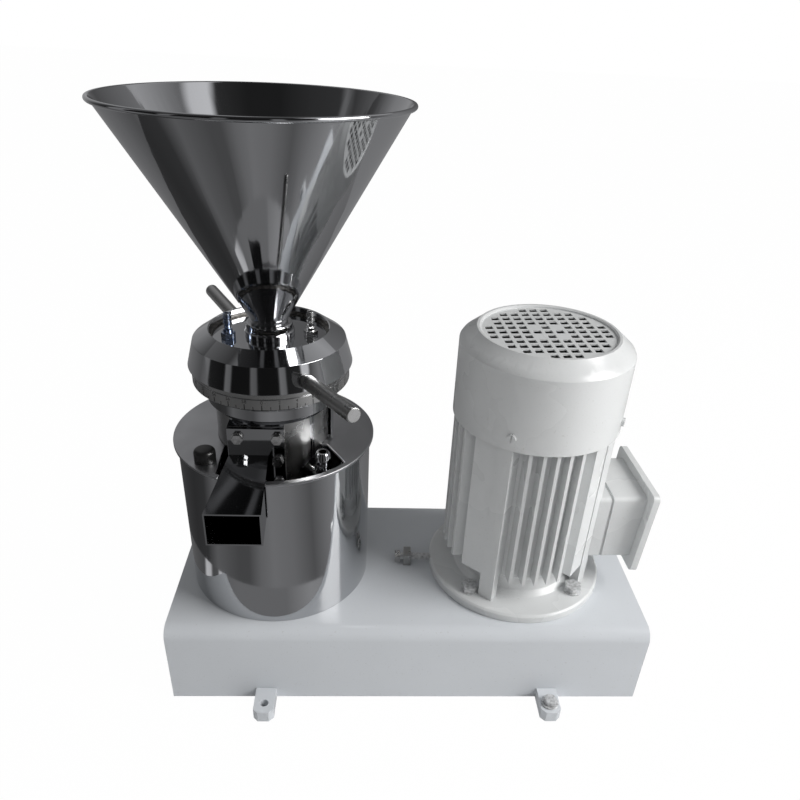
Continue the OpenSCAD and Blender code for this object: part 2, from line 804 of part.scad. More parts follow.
module hopper_hub() {
    color(stainless) at_mill() rotate_extrude() polygon([[neck_r, floor_z], [neck_r + 6.5, floor_z],
        [neck_r + 6.5, floor_z + 5], [neck_r + 5, floor_z + 6], [neck_r + 4.5, hub_z - 1],
        [neck_r + 3.5, hub_z], [neck_r, hub_z]]);
}

module cooling_nipples() {
    color("silver") at_mill() at_nipples() {
        translate([0, 0, -6]) cylinder(r = nipple_stem_r, h = 7);
        hexagon(7, 6);
        rotate_extrude() polygon([[0, 5], [4.5, 5], [4.5, 9], [3.2, 10], [3.2, 14], [4.2, 15.5],
            [3.2, 19], [4.2, 20.5], [3.2, 25], [2, 25], [2, 12], [0, 12]]);
    }
}

// Moves a shape along +Z onto a handle axis, starting on the ring's band
module handle_pose(a) {
    rotate([0, 0, a]) translate([ring_r, 0, handle_z]) rotate([0, 90 - handle_tilt, 0]) children();
}
handle_z = band_z + 10;
handle_stub_r = 5;

module adjusting_ring() {
    bore = spigot_r + loose;
    scale_r = ring_r - scale_step;
    scale_z = band_z - scale_h;
    line_z = band_z - 6.5;
    groove_z = floor_z + 0.3;
    color(stainless) at_mill() difference() {
        rotate_extrude() polygon([
            [bore, ring_z], [skirt_r - 1, ring_z], [skirt_r, ring_z + 1], [skirt_r, scale_z - 7],
            [scale_r - 1.5, scale_z], [scale_r, scale_z + 1.5], [scale_r, line_z],
            [scale_r - 0.8, line_z + 0.3], [scale_r - 0.8, line_z + 0.9], [scale_r, line_z + 1.2],
            [scale_r, band_z - 0.5], [ring_r - 0.5, band_z - 0.5], [ring_r, band_z],
            [ring_r - band_taper, band_z + band_h], [recess_r + 1.3, ring_top], [recess_r, ring_top - 1],
            [recess_r, groove_z + 1.7], [recess_r + 1.2, groove_z + 1.7],
            [recess_r + 1.2, groove_z], [recess_r, groove_z], [recess_r, carrier_z], [bore, carrier_z]]);
        for (a = [0, 180]) handle_pose(handle_angle + a)
            translate([0, 0, -16]) cylinder(r = handle_stub_r + running, h = 30);
    }
}

module retaining_ring() {
    color(dark_steel) at_mill() ring_solid(recess_r + 1.2, recess_r - 2.4, floor_z + 0.3, 1.7);
}

module handle() {
    l = handle_reach - ring_r;
    rotate_extrude() polygon([[0, -14], [handle_stub_r, -14], [handle_stub_r, 2],
        [handle_r - 0.8, 2], [handle_r, 2.8], [handle_r, l - 0.8], [handle_r - 0.8, l], [0, l]]);
}

module handle_front() { color(satin_steel) at_mill() handle_pose(handle_angle) handle(); }

module handle_rear() { color(satin_steel) at_mill() handle_pose(handle_angle + 180) handle(); }

module motor_flange() {
    inner = frame_bore_r - 4;
    color(white_paint) at_motor() difference() {
        rotate_extrude() polygon([
            [motor_shaft_r + loose, base_h - 3.5], [register_r, base_h - 3.5], [register_r, base_h],
            [flange_r, base_h], [flange_r, flange_top - 2], [flange_r - 2, flange_top],
            [flange_neck_r + 6, flange_top],
            [flange_neck_r, flange_top + 6], [flange_neck_r, frame_z - 8], [frame_r, frame_z - 3],
            [frame_r, frame_z],
            [inner, frame_z], [inner, frame_z - 10], [34, motor_bearing_z + bearing_w],
            [bearing_r, motor_bearing_z + bearing_w], [bearing_r, motor_bearing_z],
            [motor_shaft_r + loose, motor_bearing_z]]);
        at_flange_bolts() translate([0, 0, base_h - 1]) cylinder(r = motor_bolt_r + 1, h = flange_t + 2);
    }
}

// Outline of the finned frame: round body, four diagonal pads and three groups of parallel fins
module frame_outline() {
    pad_r = fin_r - pad_drop;
    circle(r = frame_r);
    intersection() {
        circle(r = fin_r);
        union() {
            for (i = [0:3]) rotate([0, 0, 45 + 90 * i]) {
                translate([0, -pad_w / 2]) square([pad_r, pad_w]);
                translate([0, pad_w / 2 - leg_w]) square([leg_r, leg_w]);
            }
            for (side = [90, 180, 270]) rotate([0, 0, side]) for (k = [-2:2])
                translate([0, k * fin_pitch - fin_t / 2]) square([fin_r, fin_t]);
        }
    }
}

// A block of the terminal box's outline that points away from the motor axis
module box_block(x, l, inset) {
    w = box_w - 2 * inset;
    h = box_h - 2 * inset;
    translate([x, -w / 2, box_z + inset]) rotate([90, 0, 90])
        linear_extrude(l) rounded_plate(w, h, max(box_edge_r - inset, 1));
}

module motor_frame() {
    foot = flange_neck_r + 7;
    color(white_paint) at_motor() difference() {
        union() {
            rotate([0, 0, frame_turn]) {
                translate([0, 0, frame_z]) linear_extrude(frame_l) frame_outline();
                for (i = [0:3]) rotate([0, 0, 45 + 90 * i])
                    translate([foot, pad_w / 2 - leg_w, flange_top]) cube([leg_r - foot, leg_w, neck_h + 1]);
            }
            rotate([0, 0, box_turn]) box_block(frame_r - 20, terminal_pad_l + 20, 0);
        }
        translate([0, 0, frame_z - 1]) cylinder(r = frame_bore_r, h = frame_l + 2);
    }
}

module rear_shield() {
    lug_h = 20;
    lug_half = 7;
    color(white_paint) at_motor() rotate([0, 0, frame_turn]) difference() {
        union() {
            translate([0, 0, frame_top]) cylinder(r = frame_r, h = shield_t);
            translate([0, 0, frame_top]) cylinder(r = rear_bearing_r + 7, h = rear_bearing_w + 2);
            intersection() {
                translate([0, 0, frame_top]) cylinder(r = cover_r - cover_wall, h = lug_h);
                for (i = [0:3]) rotate([0, 0, cover_screw_angle + 90 * i])
                    translate([frame_r - 20, -lug_half, frame_top]) cube([cover_r, 2 * lug_half, lug_h]);
            }
        }
        translate([0, 0, frame_top - 1]) cylinder(r = rear_bearing_r, h = rear_bearing_w + 1);
        translate([0, 0, frame_top - 1]) cylinder(r = rear_shaft_r + 5, h = rear_bearing_w + 1.6);
        translate([0, 0, frame_top - 1]) cylinder(r = rear_shaft_r + loose, h = rear_bearing_w + 4);
        at_cover_screws() translate([0, 0, -12]) cylinder(r = 2.5, h = 14);
    }
}

// Places of the fan cover screws, pointing out of the cover
module at_cover_screws() {
    for (i = [0:3]) rotate([0, 0, cover_screw_angle + 90 * i])
        translate([cover_r, 0, cover_screw_z]) rotate([0, 90, 0]) children();
}

module stator_core() {
    bore = motor_core_r + air_gap;
    rim = frame_bore_r - 5;
    z0 = motor_core_z;
    z1 = motor_core_z + motor_core_l;
    overhang = 14;
    color(copper) at_motor() rotate_extrude() polygon([
        [bore, z0], [bore + 3, z0], [bore + 3, z0 - overhang], [rim, z0 - overhang], [rim, z0],
        [frame_bore_r, z0], [frame_bore_r, z1], [rim, z1], [rim, z1 + overhang],
        [bore + 3, z1 + overhang], [bore + 3, z1], [bore, z1]]);
}

module fan_cover() {
    shoulder_h = 15;
    sh_z = cover_top - shoulder_h;
    wall = cover_wall;
    rim = grille_r - 4;
    disc_z = cover_top - 2.5;
    reach = 5;
    color(white_paint) at_motor() rotate([0, 0, frame_turn]) difference() {
        rotate_extrude() polygon([
            [cover_r - wall, cover_z], [cover_r, cover_z], [cover_r, sh_z], [cover_r - 1.5, sh_z + 2.5],
            [grille_r + 1.5, cover_top - 1.5], [grille_r, cover_top], [rim + 1.5, cover_top],
            [rim, cover_top - 1], [rim, disc_z], [0, disc_z], [0, disc_z - wall], [rim, disc_z - wall],
            [cover_r - wall - 1.5, sh_z + 1.5], [cover_r - wall, sh_z]]);
        for (i = [-reach:reach], j = [-reach:reach])
            if (i * i + j * j <= reach * reach + 1 && !(abs(i) == 1 && abs(j) == 1))
                translate([i * grille_pitch, j * grille_pitch, disc_z - wall / 2])
                    cube([grille_hole, grille_hole, wall + 2], center = true);
        at_cover_screws() translate([0, 0, -5]) cylinder(r = 2.5, h = 8);
    }
}

module fan_cover_screws() {
    color(white_paint) at_motor() rotate([0, 0, frame_turn]) at_cover_screws() {
        translate([0, 0, -12]) cylinder(r = 2.5, h = 12.5);
        difference() {
            translate([0, 0, -0.6]) cylinder(r = 4.5, h = 3.2);
            translate([0, 0, 1.4]) cube([10, 1.2, 4], center = true);
            rotate([0, 90, 0]) translate([cover_r, 0, -10]) rotate([0, 0, 0]) cylinder(r = cover_r, h = 20);
        }
    }
}

// Frame of the terminal box, turned about the motor axis
module at_box() {
    at_motor() rotate([0, 0, box_turn]) children();
}

// Joint plane between the terminal box and its leaning cover, from the top edge of the box
module at_lid() {
    translate([box_face, 0, box_z + box_h]) rotate([0, lid_lean, 0]) children();
}

// Places of the terminal cover screws on the joint plane, pointing out of the cover
module at_box_screws() {
    side = box_w / 2 - box_screw_inset;
    at_lid() for (y = [-side, side], z = [-box_screw_inset, box_screw_inset - box_h])
        translate([0, y, z]) rotate([0, 90, 0]) children();
}

// Place of the cable entry in the back wall of the terminal box, pointing out of the wall
module at_cable_entry() {
    translate([(box_floor + box_face) / 2, box_w / 2, box_z + box_h / 2]) rotate([-90, 0, 0]) children();
}

module terminal_box() {
    boss = 14;
    color(white_paint) at_box() difference() {
        union() {
            box_block(box_root + box_joint, box_reach - box_root, 0);
            box_block(box_root, box_joint + 1, 2.5);
        }
        at_lid() translate([0, -box_w, -2 * box_h]) cube([box_reach, 2 * box_w, 4 * box_h]);
        difference() {
            box_block(box_floor, box_reach - box_root, box_wall);
            at_box_screws() translate([-boss / 2, -boss / 2, -box_reach])
                cube([boss, boss, box_reach]);
        }
        at_cable_entry() cylinder(r = 10, h = 2 * box_wall + 2, center = true);
        at_box_screws() translate([0, 0, -20]) cylinder(r = box_screw_r, h = 21);
    }
}

module terminal_board() {
    z0 = box_z + board_inset;
    h = box_h - 2 * board_inset;
    color(rubber_black) at_box() translate([box_floor, 0, 0]) {
        translate([0, -board_w / 2, z0]) cube([board_t, board_w, h]);
        for (k = [-1:1], s = [0.25, 0.75]) translate([board_t, k * board_w / 3, z0 + s * h])
            rotate([0, 90, 0]) translate([0, 0, -1]) cylinder(r = stud_r, h = stud_l);
    }
}

module terminal_cover() {
    lid_t = 3;
    edge = 18;
    color(white_paint) at_box() difference() {
        at_lid() translate([0, -box_cover_w / 2, box_cover_over - box_cover_h]) rotate([90, 0, 90])
            linear_extrude(box_cover_t) rounded_plate(box_cover_w, box_cover_h, 6);
        at_lid() translate([-1, edge - box_w / 2, edge - box_h])
            cube([box_cover_t - lid_t + 1, box_w - 2 * edge, box_h - 2 * edge]);
        at_box_screws() translate([0, 0, -1]) cylinder(r = box_screw_r, h = box_cover_t + 2);
    }
}

module terminal_cover_screws() {
    color("silver") at_box() at_box_screws() difference() {
        union() {
            translate([0, 0, -18]) cylinder(r = box_screw_r, h = box_cover_t + 18.5);
            translate([0, 0, box_cover_t]) cylinder(r1 = 4.5, r2 = 3.8, h = 2.6);
        }
        translate([0, 0, box_cover_t + 2.4]) cube([10, 1.2, 2], center = true);
    }
}

module cable_plug() {
    color(black_plastic) at_box() at_cable_entry() {
        translate([0, 0, -box_wall]) cylinder(r = 10, h = box_wall + 1);
        hexagon(14, 6);
        translate([0, 0, 6]) cylinder(r1 = 11, r2 = 10, h = 2);
    }
}

module motor_bolts() {
    nut_h = 8;
    under = base_h - base_wall;
    color(white_paint) at_motor() at_flange_bolts() {
        translate([0, 0, under - motor_washer_t - nut_h - 4])
            cylinder(r = motor_bolt_r, h = flange_top - under + 2 * motor_washer_t + nut_h + 5);
        translate([0, 0, flange_top]) cylinder(r = motor_washer_r, h = motor_washer_t);
        translate([0, 0, flange_top + motor_washer_t]) hexagon(motor_bolt_head_r, 6.4);
        translate([0, 0, under - motor_washer_t]) cylinder(r = motor_washer_r, h = motor_washer_t);
        translate([0, 0, under - motor_washer_t - nut_h]) hexagon(motor_bolt_head_r, nut_h);
    }
}

module motor_bearings() {
    color("gray") at_motor() {
        outer_ring(bearing_r, bearing_seal_r, motor_bearing_z, bearing_w);
        outer_ring(rear_bearing_r, rear_shaft_r + 4, rear_bearing_z, rear_bearing_w);
    }
}

module motor_inner_rings() {
    color("silver") at_motor() {
        ring_solid(bearing_seal_r, motor_shaft_r, motor_bearing_z, bearing_w);
        ring_solid(rear_shaft_r + 4, rear_shaft_r, rear_bearing_z, rear_bearing_w);
    }
}

module motor_shaft() {
    color("silver") at_motor() {
        translate([0, 0, pulley_z]) cylinder(r = motor_shaft_r, h = frame_top - 1 - pulley_z);
        translate([0, 0, frame_top - 2]) cylinder(r = rear_shaft_r, h = fan_z + shaft_tail - frame_top);
    }
}

module rotor_core() {
    color("gray") at_motor() ring_solid(motor_core_r, motor_shaft_r, motor_core_z, motor_core_l);
}

module fan() {
    blades = 9;
    color(rubber_black) at_motor() difference() {
        union() {
            translate([0, 0, fan_z]) cylinder(r = fan_hub_r, h = fan_hub_h);
            translate([0, 0, fan_z]) cylinder(r = fan_r, h = fan_sheet);
            for (i = [0:blades - 1]) rotate([0, 0, 360 * i / blades])
                translate([fan_hub_r - 2, -fan_sheet / 2, fan_z])
                    cube([fan_r - fan_hub_r, fan_sheet, fan_blade_h]);
        }
        translate([0, 0, fan_z - 1]) cylinder(r = rear_shaft_r, h = fan_blade_h + 2);
    }
}

base_frame();
anchor_lugs();
drum();
drum_top_plate();
oil_plug();
bearing_housing();
mill_bearings();
bearing_cover();
mill_housing();
housing_bolts();
seal_seat();
discharge_chute();
chute_gasket();
chute_bolts();
drain_fitting();
scale_pointer();
tension_lug();
drive_belts();
stator_carrier();
stator();
carrier_o_ring();
hopper();
hopper_hub();
cooling_nipples();
adjusting_ring();
retaining_ring();
handle_front();
handle_rear();
mill_shaft();
rotor();
rotor_nut();
mill_pulley();
mill_inner_rings();
seal_ring();
motor_flange();
motor_frame();
rear_shield();
stator_core();
fan_cover();
fan_cover_screws();
terminal_box();
terminal_board();
terminal_cover();
terminal_cover_screws();
cable_plug();
motor_bolts();
motor_bearings();
motor_shaft();
rotor_core();
fan();
motor_pulley();
motor_inner_rings();
tension_screw();
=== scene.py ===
"""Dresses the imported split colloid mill: finishes, eased edges, scale marks, threads and a studio stage."""

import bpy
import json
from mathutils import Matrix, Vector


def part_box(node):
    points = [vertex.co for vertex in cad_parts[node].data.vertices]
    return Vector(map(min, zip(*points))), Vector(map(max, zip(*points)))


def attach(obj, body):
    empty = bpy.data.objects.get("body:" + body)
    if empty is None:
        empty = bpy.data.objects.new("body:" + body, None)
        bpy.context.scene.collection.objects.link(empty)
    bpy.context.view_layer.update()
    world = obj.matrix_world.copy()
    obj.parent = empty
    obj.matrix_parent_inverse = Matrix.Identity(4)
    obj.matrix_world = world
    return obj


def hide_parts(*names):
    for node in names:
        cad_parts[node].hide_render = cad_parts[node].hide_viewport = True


bl_info = {
    "name": "Split Colloid Mill",
    "version": (1, 0, 0),
    "blender": (4, 5, 0),
    "location": "View3D > Sidebar > Mill",
    "description": "Finishes and fine detail for a split colloid mill with a belt-drive flange motor",
    "category": "Object",
}

import json
import math

import bmesh
import bpy
from bpy.props import FloatProperty, FloatVectorProperty, IntProperty, PointerProperty
from bpy.types import Operator, Panel, PropertyGroup
from mathutils import Matrix, Vector

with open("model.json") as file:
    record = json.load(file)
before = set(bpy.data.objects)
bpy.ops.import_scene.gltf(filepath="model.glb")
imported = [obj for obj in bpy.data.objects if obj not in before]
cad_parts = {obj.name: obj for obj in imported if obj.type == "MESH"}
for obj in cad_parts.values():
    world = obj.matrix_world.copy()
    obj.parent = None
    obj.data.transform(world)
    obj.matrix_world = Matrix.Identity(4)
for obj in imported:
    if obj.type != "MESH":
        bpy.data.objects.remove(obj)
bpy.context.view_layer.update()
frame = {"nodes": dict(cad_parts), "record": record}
MM = 0.001


def linear(text):
    """The scene-linear colour of an sRGB hex value."""
    parts = [int(text[i:i + 2], 16) / 255 for i in (1, 3, 5)]
    return tuple(p / 12.92 if p <= 0.04045 else ((p + 0.055) / 1.055) ** 2.4 for p in parts)


def axis_of(node):
    """The upright axis of a round CAD node, as x and y."""
    low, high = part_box(node)
    return Vector(((low[0] + high[0]) / 2, (low[1] + high[1]) / 2))


MILL = axis_of("drum")
MOTOR = axis_of("fan_cover")
# Width of an anchor lug, and the distance of its hole from its outer end
LUG_W = 22 * MM
HOLE_IN = 13 * MM


# Settings a user would change


class MillFinishSettings(PropertyGroup):
    """Colours and gloss of the finishes."""
    stainless: FloatVectorProperty(
        name="Stainless", description="Colour of the stainless steel", subtype="COLOR",
        default=linear("#c1c2c4"), min=0, max=1)
    enamel: FloatVectorProperty(
        name="Enamel", description="Colour of the white enamel", subtype="COLOR",
        default=linear("#dadcde"), min=0, max=1)
    grime: FloatVectorProperty(
        name="Grime", description="Colour of the dust that settles in corners", subtype="COLOR",
        default=linear("#a7a69f"), min=0, max=1)
    mirror: FloatProperty(
        name="Mirror roughness", description="Roughness of the mirror-polished steel",
        subtype="FACTOR", default=0.04, min=0, max=1)
    satin: FloatProperty(
        name="Satin roughness", description="Roughness of the satin steel",
        subtype="FACTOR", default=0.33, min=0, max=1)


class MillScaleSettings(PropertyGroup):
    """The graduated scale under the band of the adjusting ring."""
    divisions: IntProperty(
        name="Divisions", description="Scale divisions in a full turn", default=60, min=20, max=200)
    numbered: IntProperty(
        name="Numbered every", description="Divisions between two numbers", default=2, min=2, max=20)
    tick: FloatProperty(
        name="Tick length", description="Length of a short mark", unit="LENGTH",
        default=3.2 * MM, min=1 * MM, max=8 * MM)
    line: FloatProperty(
        name="Line width", description="Width of a mark", unit="LENGTH",
        default=0.7 * MM, min=0.1 * MM, max=2 * MM)
    figure: FloatProperty(
        name="Number height", description="Height of a number", unit="LENGTH",
        default=4.8 * MM, min=2 * MM, max=8 * MM)
    inset: FloatProperty(
        name="Face inset", description="How far the graduated face lies inside the band", unit="LENGTH",
        default=3 * MM, min=0, max=10 * MM)
    foot: FloatProperty(
        name="Face foot", description="Height of the foot of the marks above the ring's lower edge",
        unit="LENGTH", default=20.6 * MM, min=0, max=40 * MM)


class MillStageSettings(PropertyGroup):
    """Camera and light."""
    lens: FloatProperty(
        name="Lens", description="Focal length of the camera on a 36 mm sensor", subtype="DISTANCE_CAMERA",
        default=31.65, min=10, max=200)
    key: FloatProperty(
        name="Key light", description="Power of the key light", unit="POWER", default=46.0, min=0, max=500)
    fill: FloatProperty(
        name="Fill light", description="Power of the fill light", unit="POWER", default=2.5, min=0, max=500)
    sky: FloatProperty(
        name="Room light", description="Strength of the light from all round", default=0.24, min=0, max=5)


# Node and mesh helpers


def add(tree, kind, settings=None, inputs=None):
    """Adds a node, sets its properties, and sets or links its inputs."""
    node = tree.nodes.new(kind)
    for name, value in (settings or {}).items():
        setattr(node, name, value)
    for name, value in (inputs or {}).items():
        if isinstance(value, bpy.types.NodeSocket):
            tree.links.new(value, node.inputs[name])
        else:
            node.inputs[name].default_value = value
    return node


def empty_material(name):
    """A material with an empty node tree: (material, tree)."""
    material = bpy.data.materials.new(name)
    material.use_nodes = True
    material.node_tree.nodes.clear()
    return material, material.node_tree


def new_material(name):
    """A node material with its output and shader: (material, tree, shader)."""
    material, tree = empty_material(name)
    shader = add(tree, "ShaderNodeBsdfPrincipled")
    add(tree, "ShaderNodeOutputMaterial", None, {"Surface": shader.outputs["BSDF"]})
    return material, tree, shader


def finish(name):
    """A finish by its function's name, made once."""
    made = bpy.data.materials.get(name)
    return made or FINISHES[name](bpy.context.scene.mill_finish)


def new_object(name, mesh):
    """Links a mesh into the scene as an object at the origin."""
    piece = bpy.data.objects.new(name, mesh)
    bpy.context.collection.objects.link(piece)
    return piece


def seat(piece, body, material):
    """Gives a piece its finish and its body."""
    piece.data.materials.clear()
    piece.data.materials.append(finish(material))
    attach(piece, body)


def body_and_slot(node):
    """The body a CAD node rides on and its slot of the record."""
    record = frame["record"]
    body = next(b for b, nodes in record["behaviour"]["bodies"].items() if node in nodes)
    slot = next(s["material_slot"] for s in record["subparts"] if s["node"] == node)
    return body, slot


def paint(nodes, material):
    """Gives CAD nodes a finish and leaves their shape alone."""
    for node in nodes:
        thing = frame["nodes"][node]
        thing.data.materials.clear()
        thing.data.materials.append(finish(material))


def ease(node, width, material, segments=2, angle=32):
    """Stands a welded copy of a CAD node in its place, with its sharp edges eased by a small round.

    The width of the round is in millimetres, and the angle from which an edge counts as sharp in degrees."""
    weld = 0.01 * MM
    flat = math.radians(0.3)
    mesh = frame["nodes"][node].data.copy()
    work = bmesh.new()
    work.from_mesh(mesh)
    bmesh.ops.remove_doubles(work, verts=work.verts, dist=weld)
    bmesh.ops.dissolve_limit(
        work, angle_limit=flat, verts=work.verts, edges=work.edges, use_dissolve_boundaries=False)
    for face in work.faces:
        face.smooth = True
    work.to_mesh(mesh)
    work.free()
    if "custom_normal" in mesh.attributes:
        mesh.attributes.remove(mesh.attributes["custom_normal"])
    mesh.set_sharp_from_angle(angle=math.radians(angle))
    piece = new_object(node + "_skin", mesh)
    bevel = piece.modifiers.new("eased edges", "BEVEL")
    bevel.width = width * MM
    bevel.segments = segments
    bevel.limit_method = "ANGLE"
    bevel.angle_limit = math.radians(angle)
    bevel.harden_normals = True
    bevel.use_clamp_overlap = True
    body, slot = body_and_slot(node)
    seat(piece, body, material)
    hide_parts(node)
    return piece


def second_finish(piece, material, chosen):
    """Gives the faces that a test picks by their centre and normal a second finish."""
    piece.data.materials.append(finish(material))
    for face in piece.data.polygons:
        if chosen(face.center, face.normal):
            face.material_index = 1


def plain_mesh(piece, name):
    """The evaluated shape of an object as a plain mesh, with its modifiers gone."""
    evaluated = piece.evaluated_get(bpy.context.evaluated_depsgraph_get())
    mesh = bpy.data.meshes.new_from_object(evaluated)
    mesh.name = name
    piece.modifiers.clear()
    piece.data = mesh
    return piece


# Finishes


def mirror_tree(name, s, tone):
    """Mirror-polished stainless sheet: clear dark reflections, broken a little by buffing haze."""
    material, tree, shader = new_material(name)
    place = add(tree, "ShaderNodeTexCoord")
    # Buffing haze, patches of about 25 mm
    haze = add(tree, "ShaderNodeTexNoise", None,
               {"Vector": place.outputs["Object"], "Scale": 40.0, "Detail": 4.0, "Roughness": 0.6})
    rough = add(tree, "ShaderNodeMapRange", None,
                {"Value": haze.outputs["Fac"], "From Min": 0.35, "From Max": 0.75,
                 "To Min": s.mirror, "To Max": s.mirror * 2.2})
    # Sheet that is not quite flat, waves of about 60 mm
    wave = add(tree, "ShaderNodeTexNoise", None,
               {"Vector": place.outputs["Object"], "Scale": 16.0, "Detail": 1.0})
    bump = add(tree, "ShaderNodeBump", None,
               {"Height": wave.outputs["Fac"], "Strength": 0.05, "Distance": 4 * MM})
    shader.inputs["Base Color"].default_value = (*[c * tone for c in s.stainless], 1)
    shader.inputs["Metallic"].default_value = 1.0
    tree.links.new(rough.outputs["Result"], shader.inputs["Roughness"])
    tree.links.new(bump.outputs["Normal"], shader.inputs["Normal"])
    return material


def mirror_stainless(s):
    """Polished sheet in the open."""
    return mirror_tree("mirror_stainless", s, 1.0)


def painted_shade_stainless(s):
    """Polished sheet whose colour is darkened to 0.7 as painted shade."""
    return mirror_tree("painted_shade_stainless", s, 0.7)


def rolled_stainless(s):
    """Polished rolled sheet: near-mirror with fine upright drawing lines from the rolls."""
    material, tree, shader = new_material("rolled_stainless")
    place = add(tree, "ShaderNodeTexCoord")
    # Drawing lines 1.5 mm apart, drawn coarser than real ones so that they show
    stretch = add(tree, "ShaderNodeMapping", None,
                  {"Vector": place.outputs["Object"], "Scale": (650.0, 650.0, 6.0)})
    lines = add(tree, "ShaderNodeTexNoise", None,
                {"Vector": stretch.outputs["Vector"], "Scale": 1.0, "Detail": 2.0})
    haze = add(tree, "ShaderNodeTexNoise", None,
               {"Vector": place.outputs["Object"], "Scale": 22.0, "Detail": 3.0})
    both = add(tree, "ShaderNodeMath", {"operation": "MULTIPLY_ADD"},
               {0: lines.outputs["Fac"], 1: 0.5, 2: haze.outputs["Fac"]})
    rough = add(tree, "ShaderNodeMapRange", None,
                {"Value": both.outputs["Value"], "From Min": 0.5, "From Max": 1.0,
                 "To Min": s.mirror * 0.9, "To Max": s.mirror * 2.0})
    bump = add(tree, "ShaderNodeBump", None,
               {"Height": lines.outputs["Fac"], "Strength": 0.04, "Distance": 0.2 * MM})
    shader.inputs["Base Color"].default_value = (*s.stainless, 1)
    shader.inputs["Metallic"].default_value = 1.0
    tree.links.new(rough.outputs["Result"], shader.inputs["Roughness"])
    tree.links.new(bump.outputs["Normal"], shader.inputs["Normal"])
    return material


def satin_plate(s):
    """Satin stainless plate: soft grey with fine turned rings about the mill axis."""
    material, tree, shader = new_material("satin_plate")
    place = add(tree, "ShaderNodeTexCoord")
    centre = add(tree, "ShaderNodeMapping", None,
                 {"Vector": place.outputs["Object"], "Location": (-MILL.x, -MILL.y, 0.0)})
    # Turning marks 1.7 mm apart
    rings = add(tree, "ShaderNodeTexWave",
                {"wave_type": "RINGS", "rings_direction": "Z"},
                {"Vector": centre.outputs["Vector"], "Scale": 180.0, "Distortion": 0.6, "Detail": 2.0})
    haze = add(tree, "ShaderNodeTexNoise", None,
               {"Vector": place.outputs["Object"], "Scale": 30.0, "Detail": 4.0})
    rough = add(tree, "ShaderNodeMapRange", None,
                {"Value": haze.outputs["Fac"], "From Min": 0.3, "From Max": 0.7,
                 "To Min": s.satin * 0.85, "To Max": s.satin * 1.25})
    bump = add(tree, "ShaderNodeBump", None,
               {"Height": rings.outputs["Fac"], "Strength": 0.05, "Distance": 0.1 * MM})
    shader.inputs["Base Color"].default_value = (*s.stainless, 1)
    shader.inputs["Metallic"].default_value = 1.0
    tree.links.new(rough.outputs["Result"], shader.inputs["Roughness"])
    tree.links.new(bump.outputs["Normal"], shader.inputs["Normal"])
    return material


def turned_steel(s):
    """Turned bright steel: satin, with fine marks of the lathe that scatter the light."""
    material, tree, shader = new_material("turned_steel")
    place = add(tree, "ShaderNodeTexCoord")
    grain = add(tree, "ShaderNodeTexNoise", None,
                {"Vector": place.outputs["Object"], "Scale": 900.0, "Detail": 3.0})
    haze = add(tree, "ShaderNodeTexNoise", None,
               {"Vector": place.outputs["Object"], "Scale": 60.0, "Detail": 3.0})
    rough = add(tree, "ShaderNodeMapRange", None,
                {"Value": haze.outputs["Fac"], "From Min": 0.3, "From Max": 0.7,
                 "To Min": s.satin * 0.7, "To Max": s.satin * 1.1})
    bump = add(tree, "ShaderNodeBump", None,
               {"Height": grain.outputs["Fac"], "Strength": 0.06, "Distance": 0.1 * MM})
    shader.inputs["Base Color"].default_value = (*linear("#b9b9b8"), 1)
    shader.inputs["Metallic"].default_value = 1.0
    tree.links.new(rough.outputs["Result"], shader.inputs["Roughness"])
    tree.links.new(bump.outputs["Normal"], shader.inputs["Normal"])
    return material


def plated_fastener(s):
    """Bright zinc plate on fasteners: pale, fairly glossy, a little uneven."""
    material, tree, shader = new_material("plated_fastener")
    place = add(tree, "ShaderNodeTexCoord")
    haze = add(tree, "ShaderNodeTexNoise", None,
               {"Vector": place.outputs["Object"], "Scale": 260.0, "Detail": 3.0})
    rough = add(tree, "ShaderNodeMapRange", None,
                {"Value": haze.outputs["Fac"], "From Min": 0.3, "From Max": 0.7,
                 "To Min": 0.12, "To Max": 0.3})
    shader.inputs["Base Color"].default_value = (*linear("#cfcfcf"), 1)
    shader.inputs["Metallic"].default_value = 1.0
    tree.links.new(rough.outputs["Result"], shader.inputs["Roughness"])
    return material


def dull_zinc(s):
    """Weathered zinc plate under dust: half its gloss is gone, with darker spots."""
    material, tree, shader = new_material("dull_zinc")
    place = add(tree, "ShaderNodeTexCoord")
    spots = add(tree, "ShaderNodeTexNoise", None,
                {"Vector": place.outputs["Object"], "Scale": 320.0, "Detail": 4.0})
    colour = add(tree, "ShaderNodeValToRGB", None, {"Fac": spots.outputs["Fac"]})
    colour.color_ramp.elements[0].position = 0.35
    colour.color_ramp.elements[0].color = (*linear("#b0b1b2"), 1)
    colour.color_ramp.elements[1].position = 0.6
    colour.color_ramp.elements[1].color = (*linear("#d8d9da"), 1)
    shader.inputs["Metallic"].default_value = 0.35
    shader.inputs["Roughness"].default_value = 0.38
    tree.links.new(colour.outputs["Color"], shader.inputs["Base Color"])
    return material


def blued_fastener(s):
    """Blue-passivated zinc plate: pale steel with a cold blue cast."""
    material, tree, shader = new_material("blued_fastener")
    place = add(tree, "ShaderNodeTexCoord")
    cast = add(tree, "ShaderNodeTexNoise", None,
               {"Vector": place.outputs["Object"], "Scale": 180.0, "Detail": 3.0})
    colour = add(tree, "ShaderNodeValToRGB", None, {"Fac": cast.outputs["Fac"]})
    colour.color_ramp.elements[0].position = 0.35
    colour.color_ramp.elements[0].color = (*linear("#7f92b4"), 1)
    colour.color_ramp.elements[1].position = 0.65
    colour.color_ramp.elements[1].color = (*linear("#c3cbd8"), 1)
    shader.inputs["Metallic"].default_value = 1.0
    shader.inputs["Roughness"].default_value = 0.22
    tree.links.new(colour.outputs["Color"], shader.inputs["Base Color"])
    return material


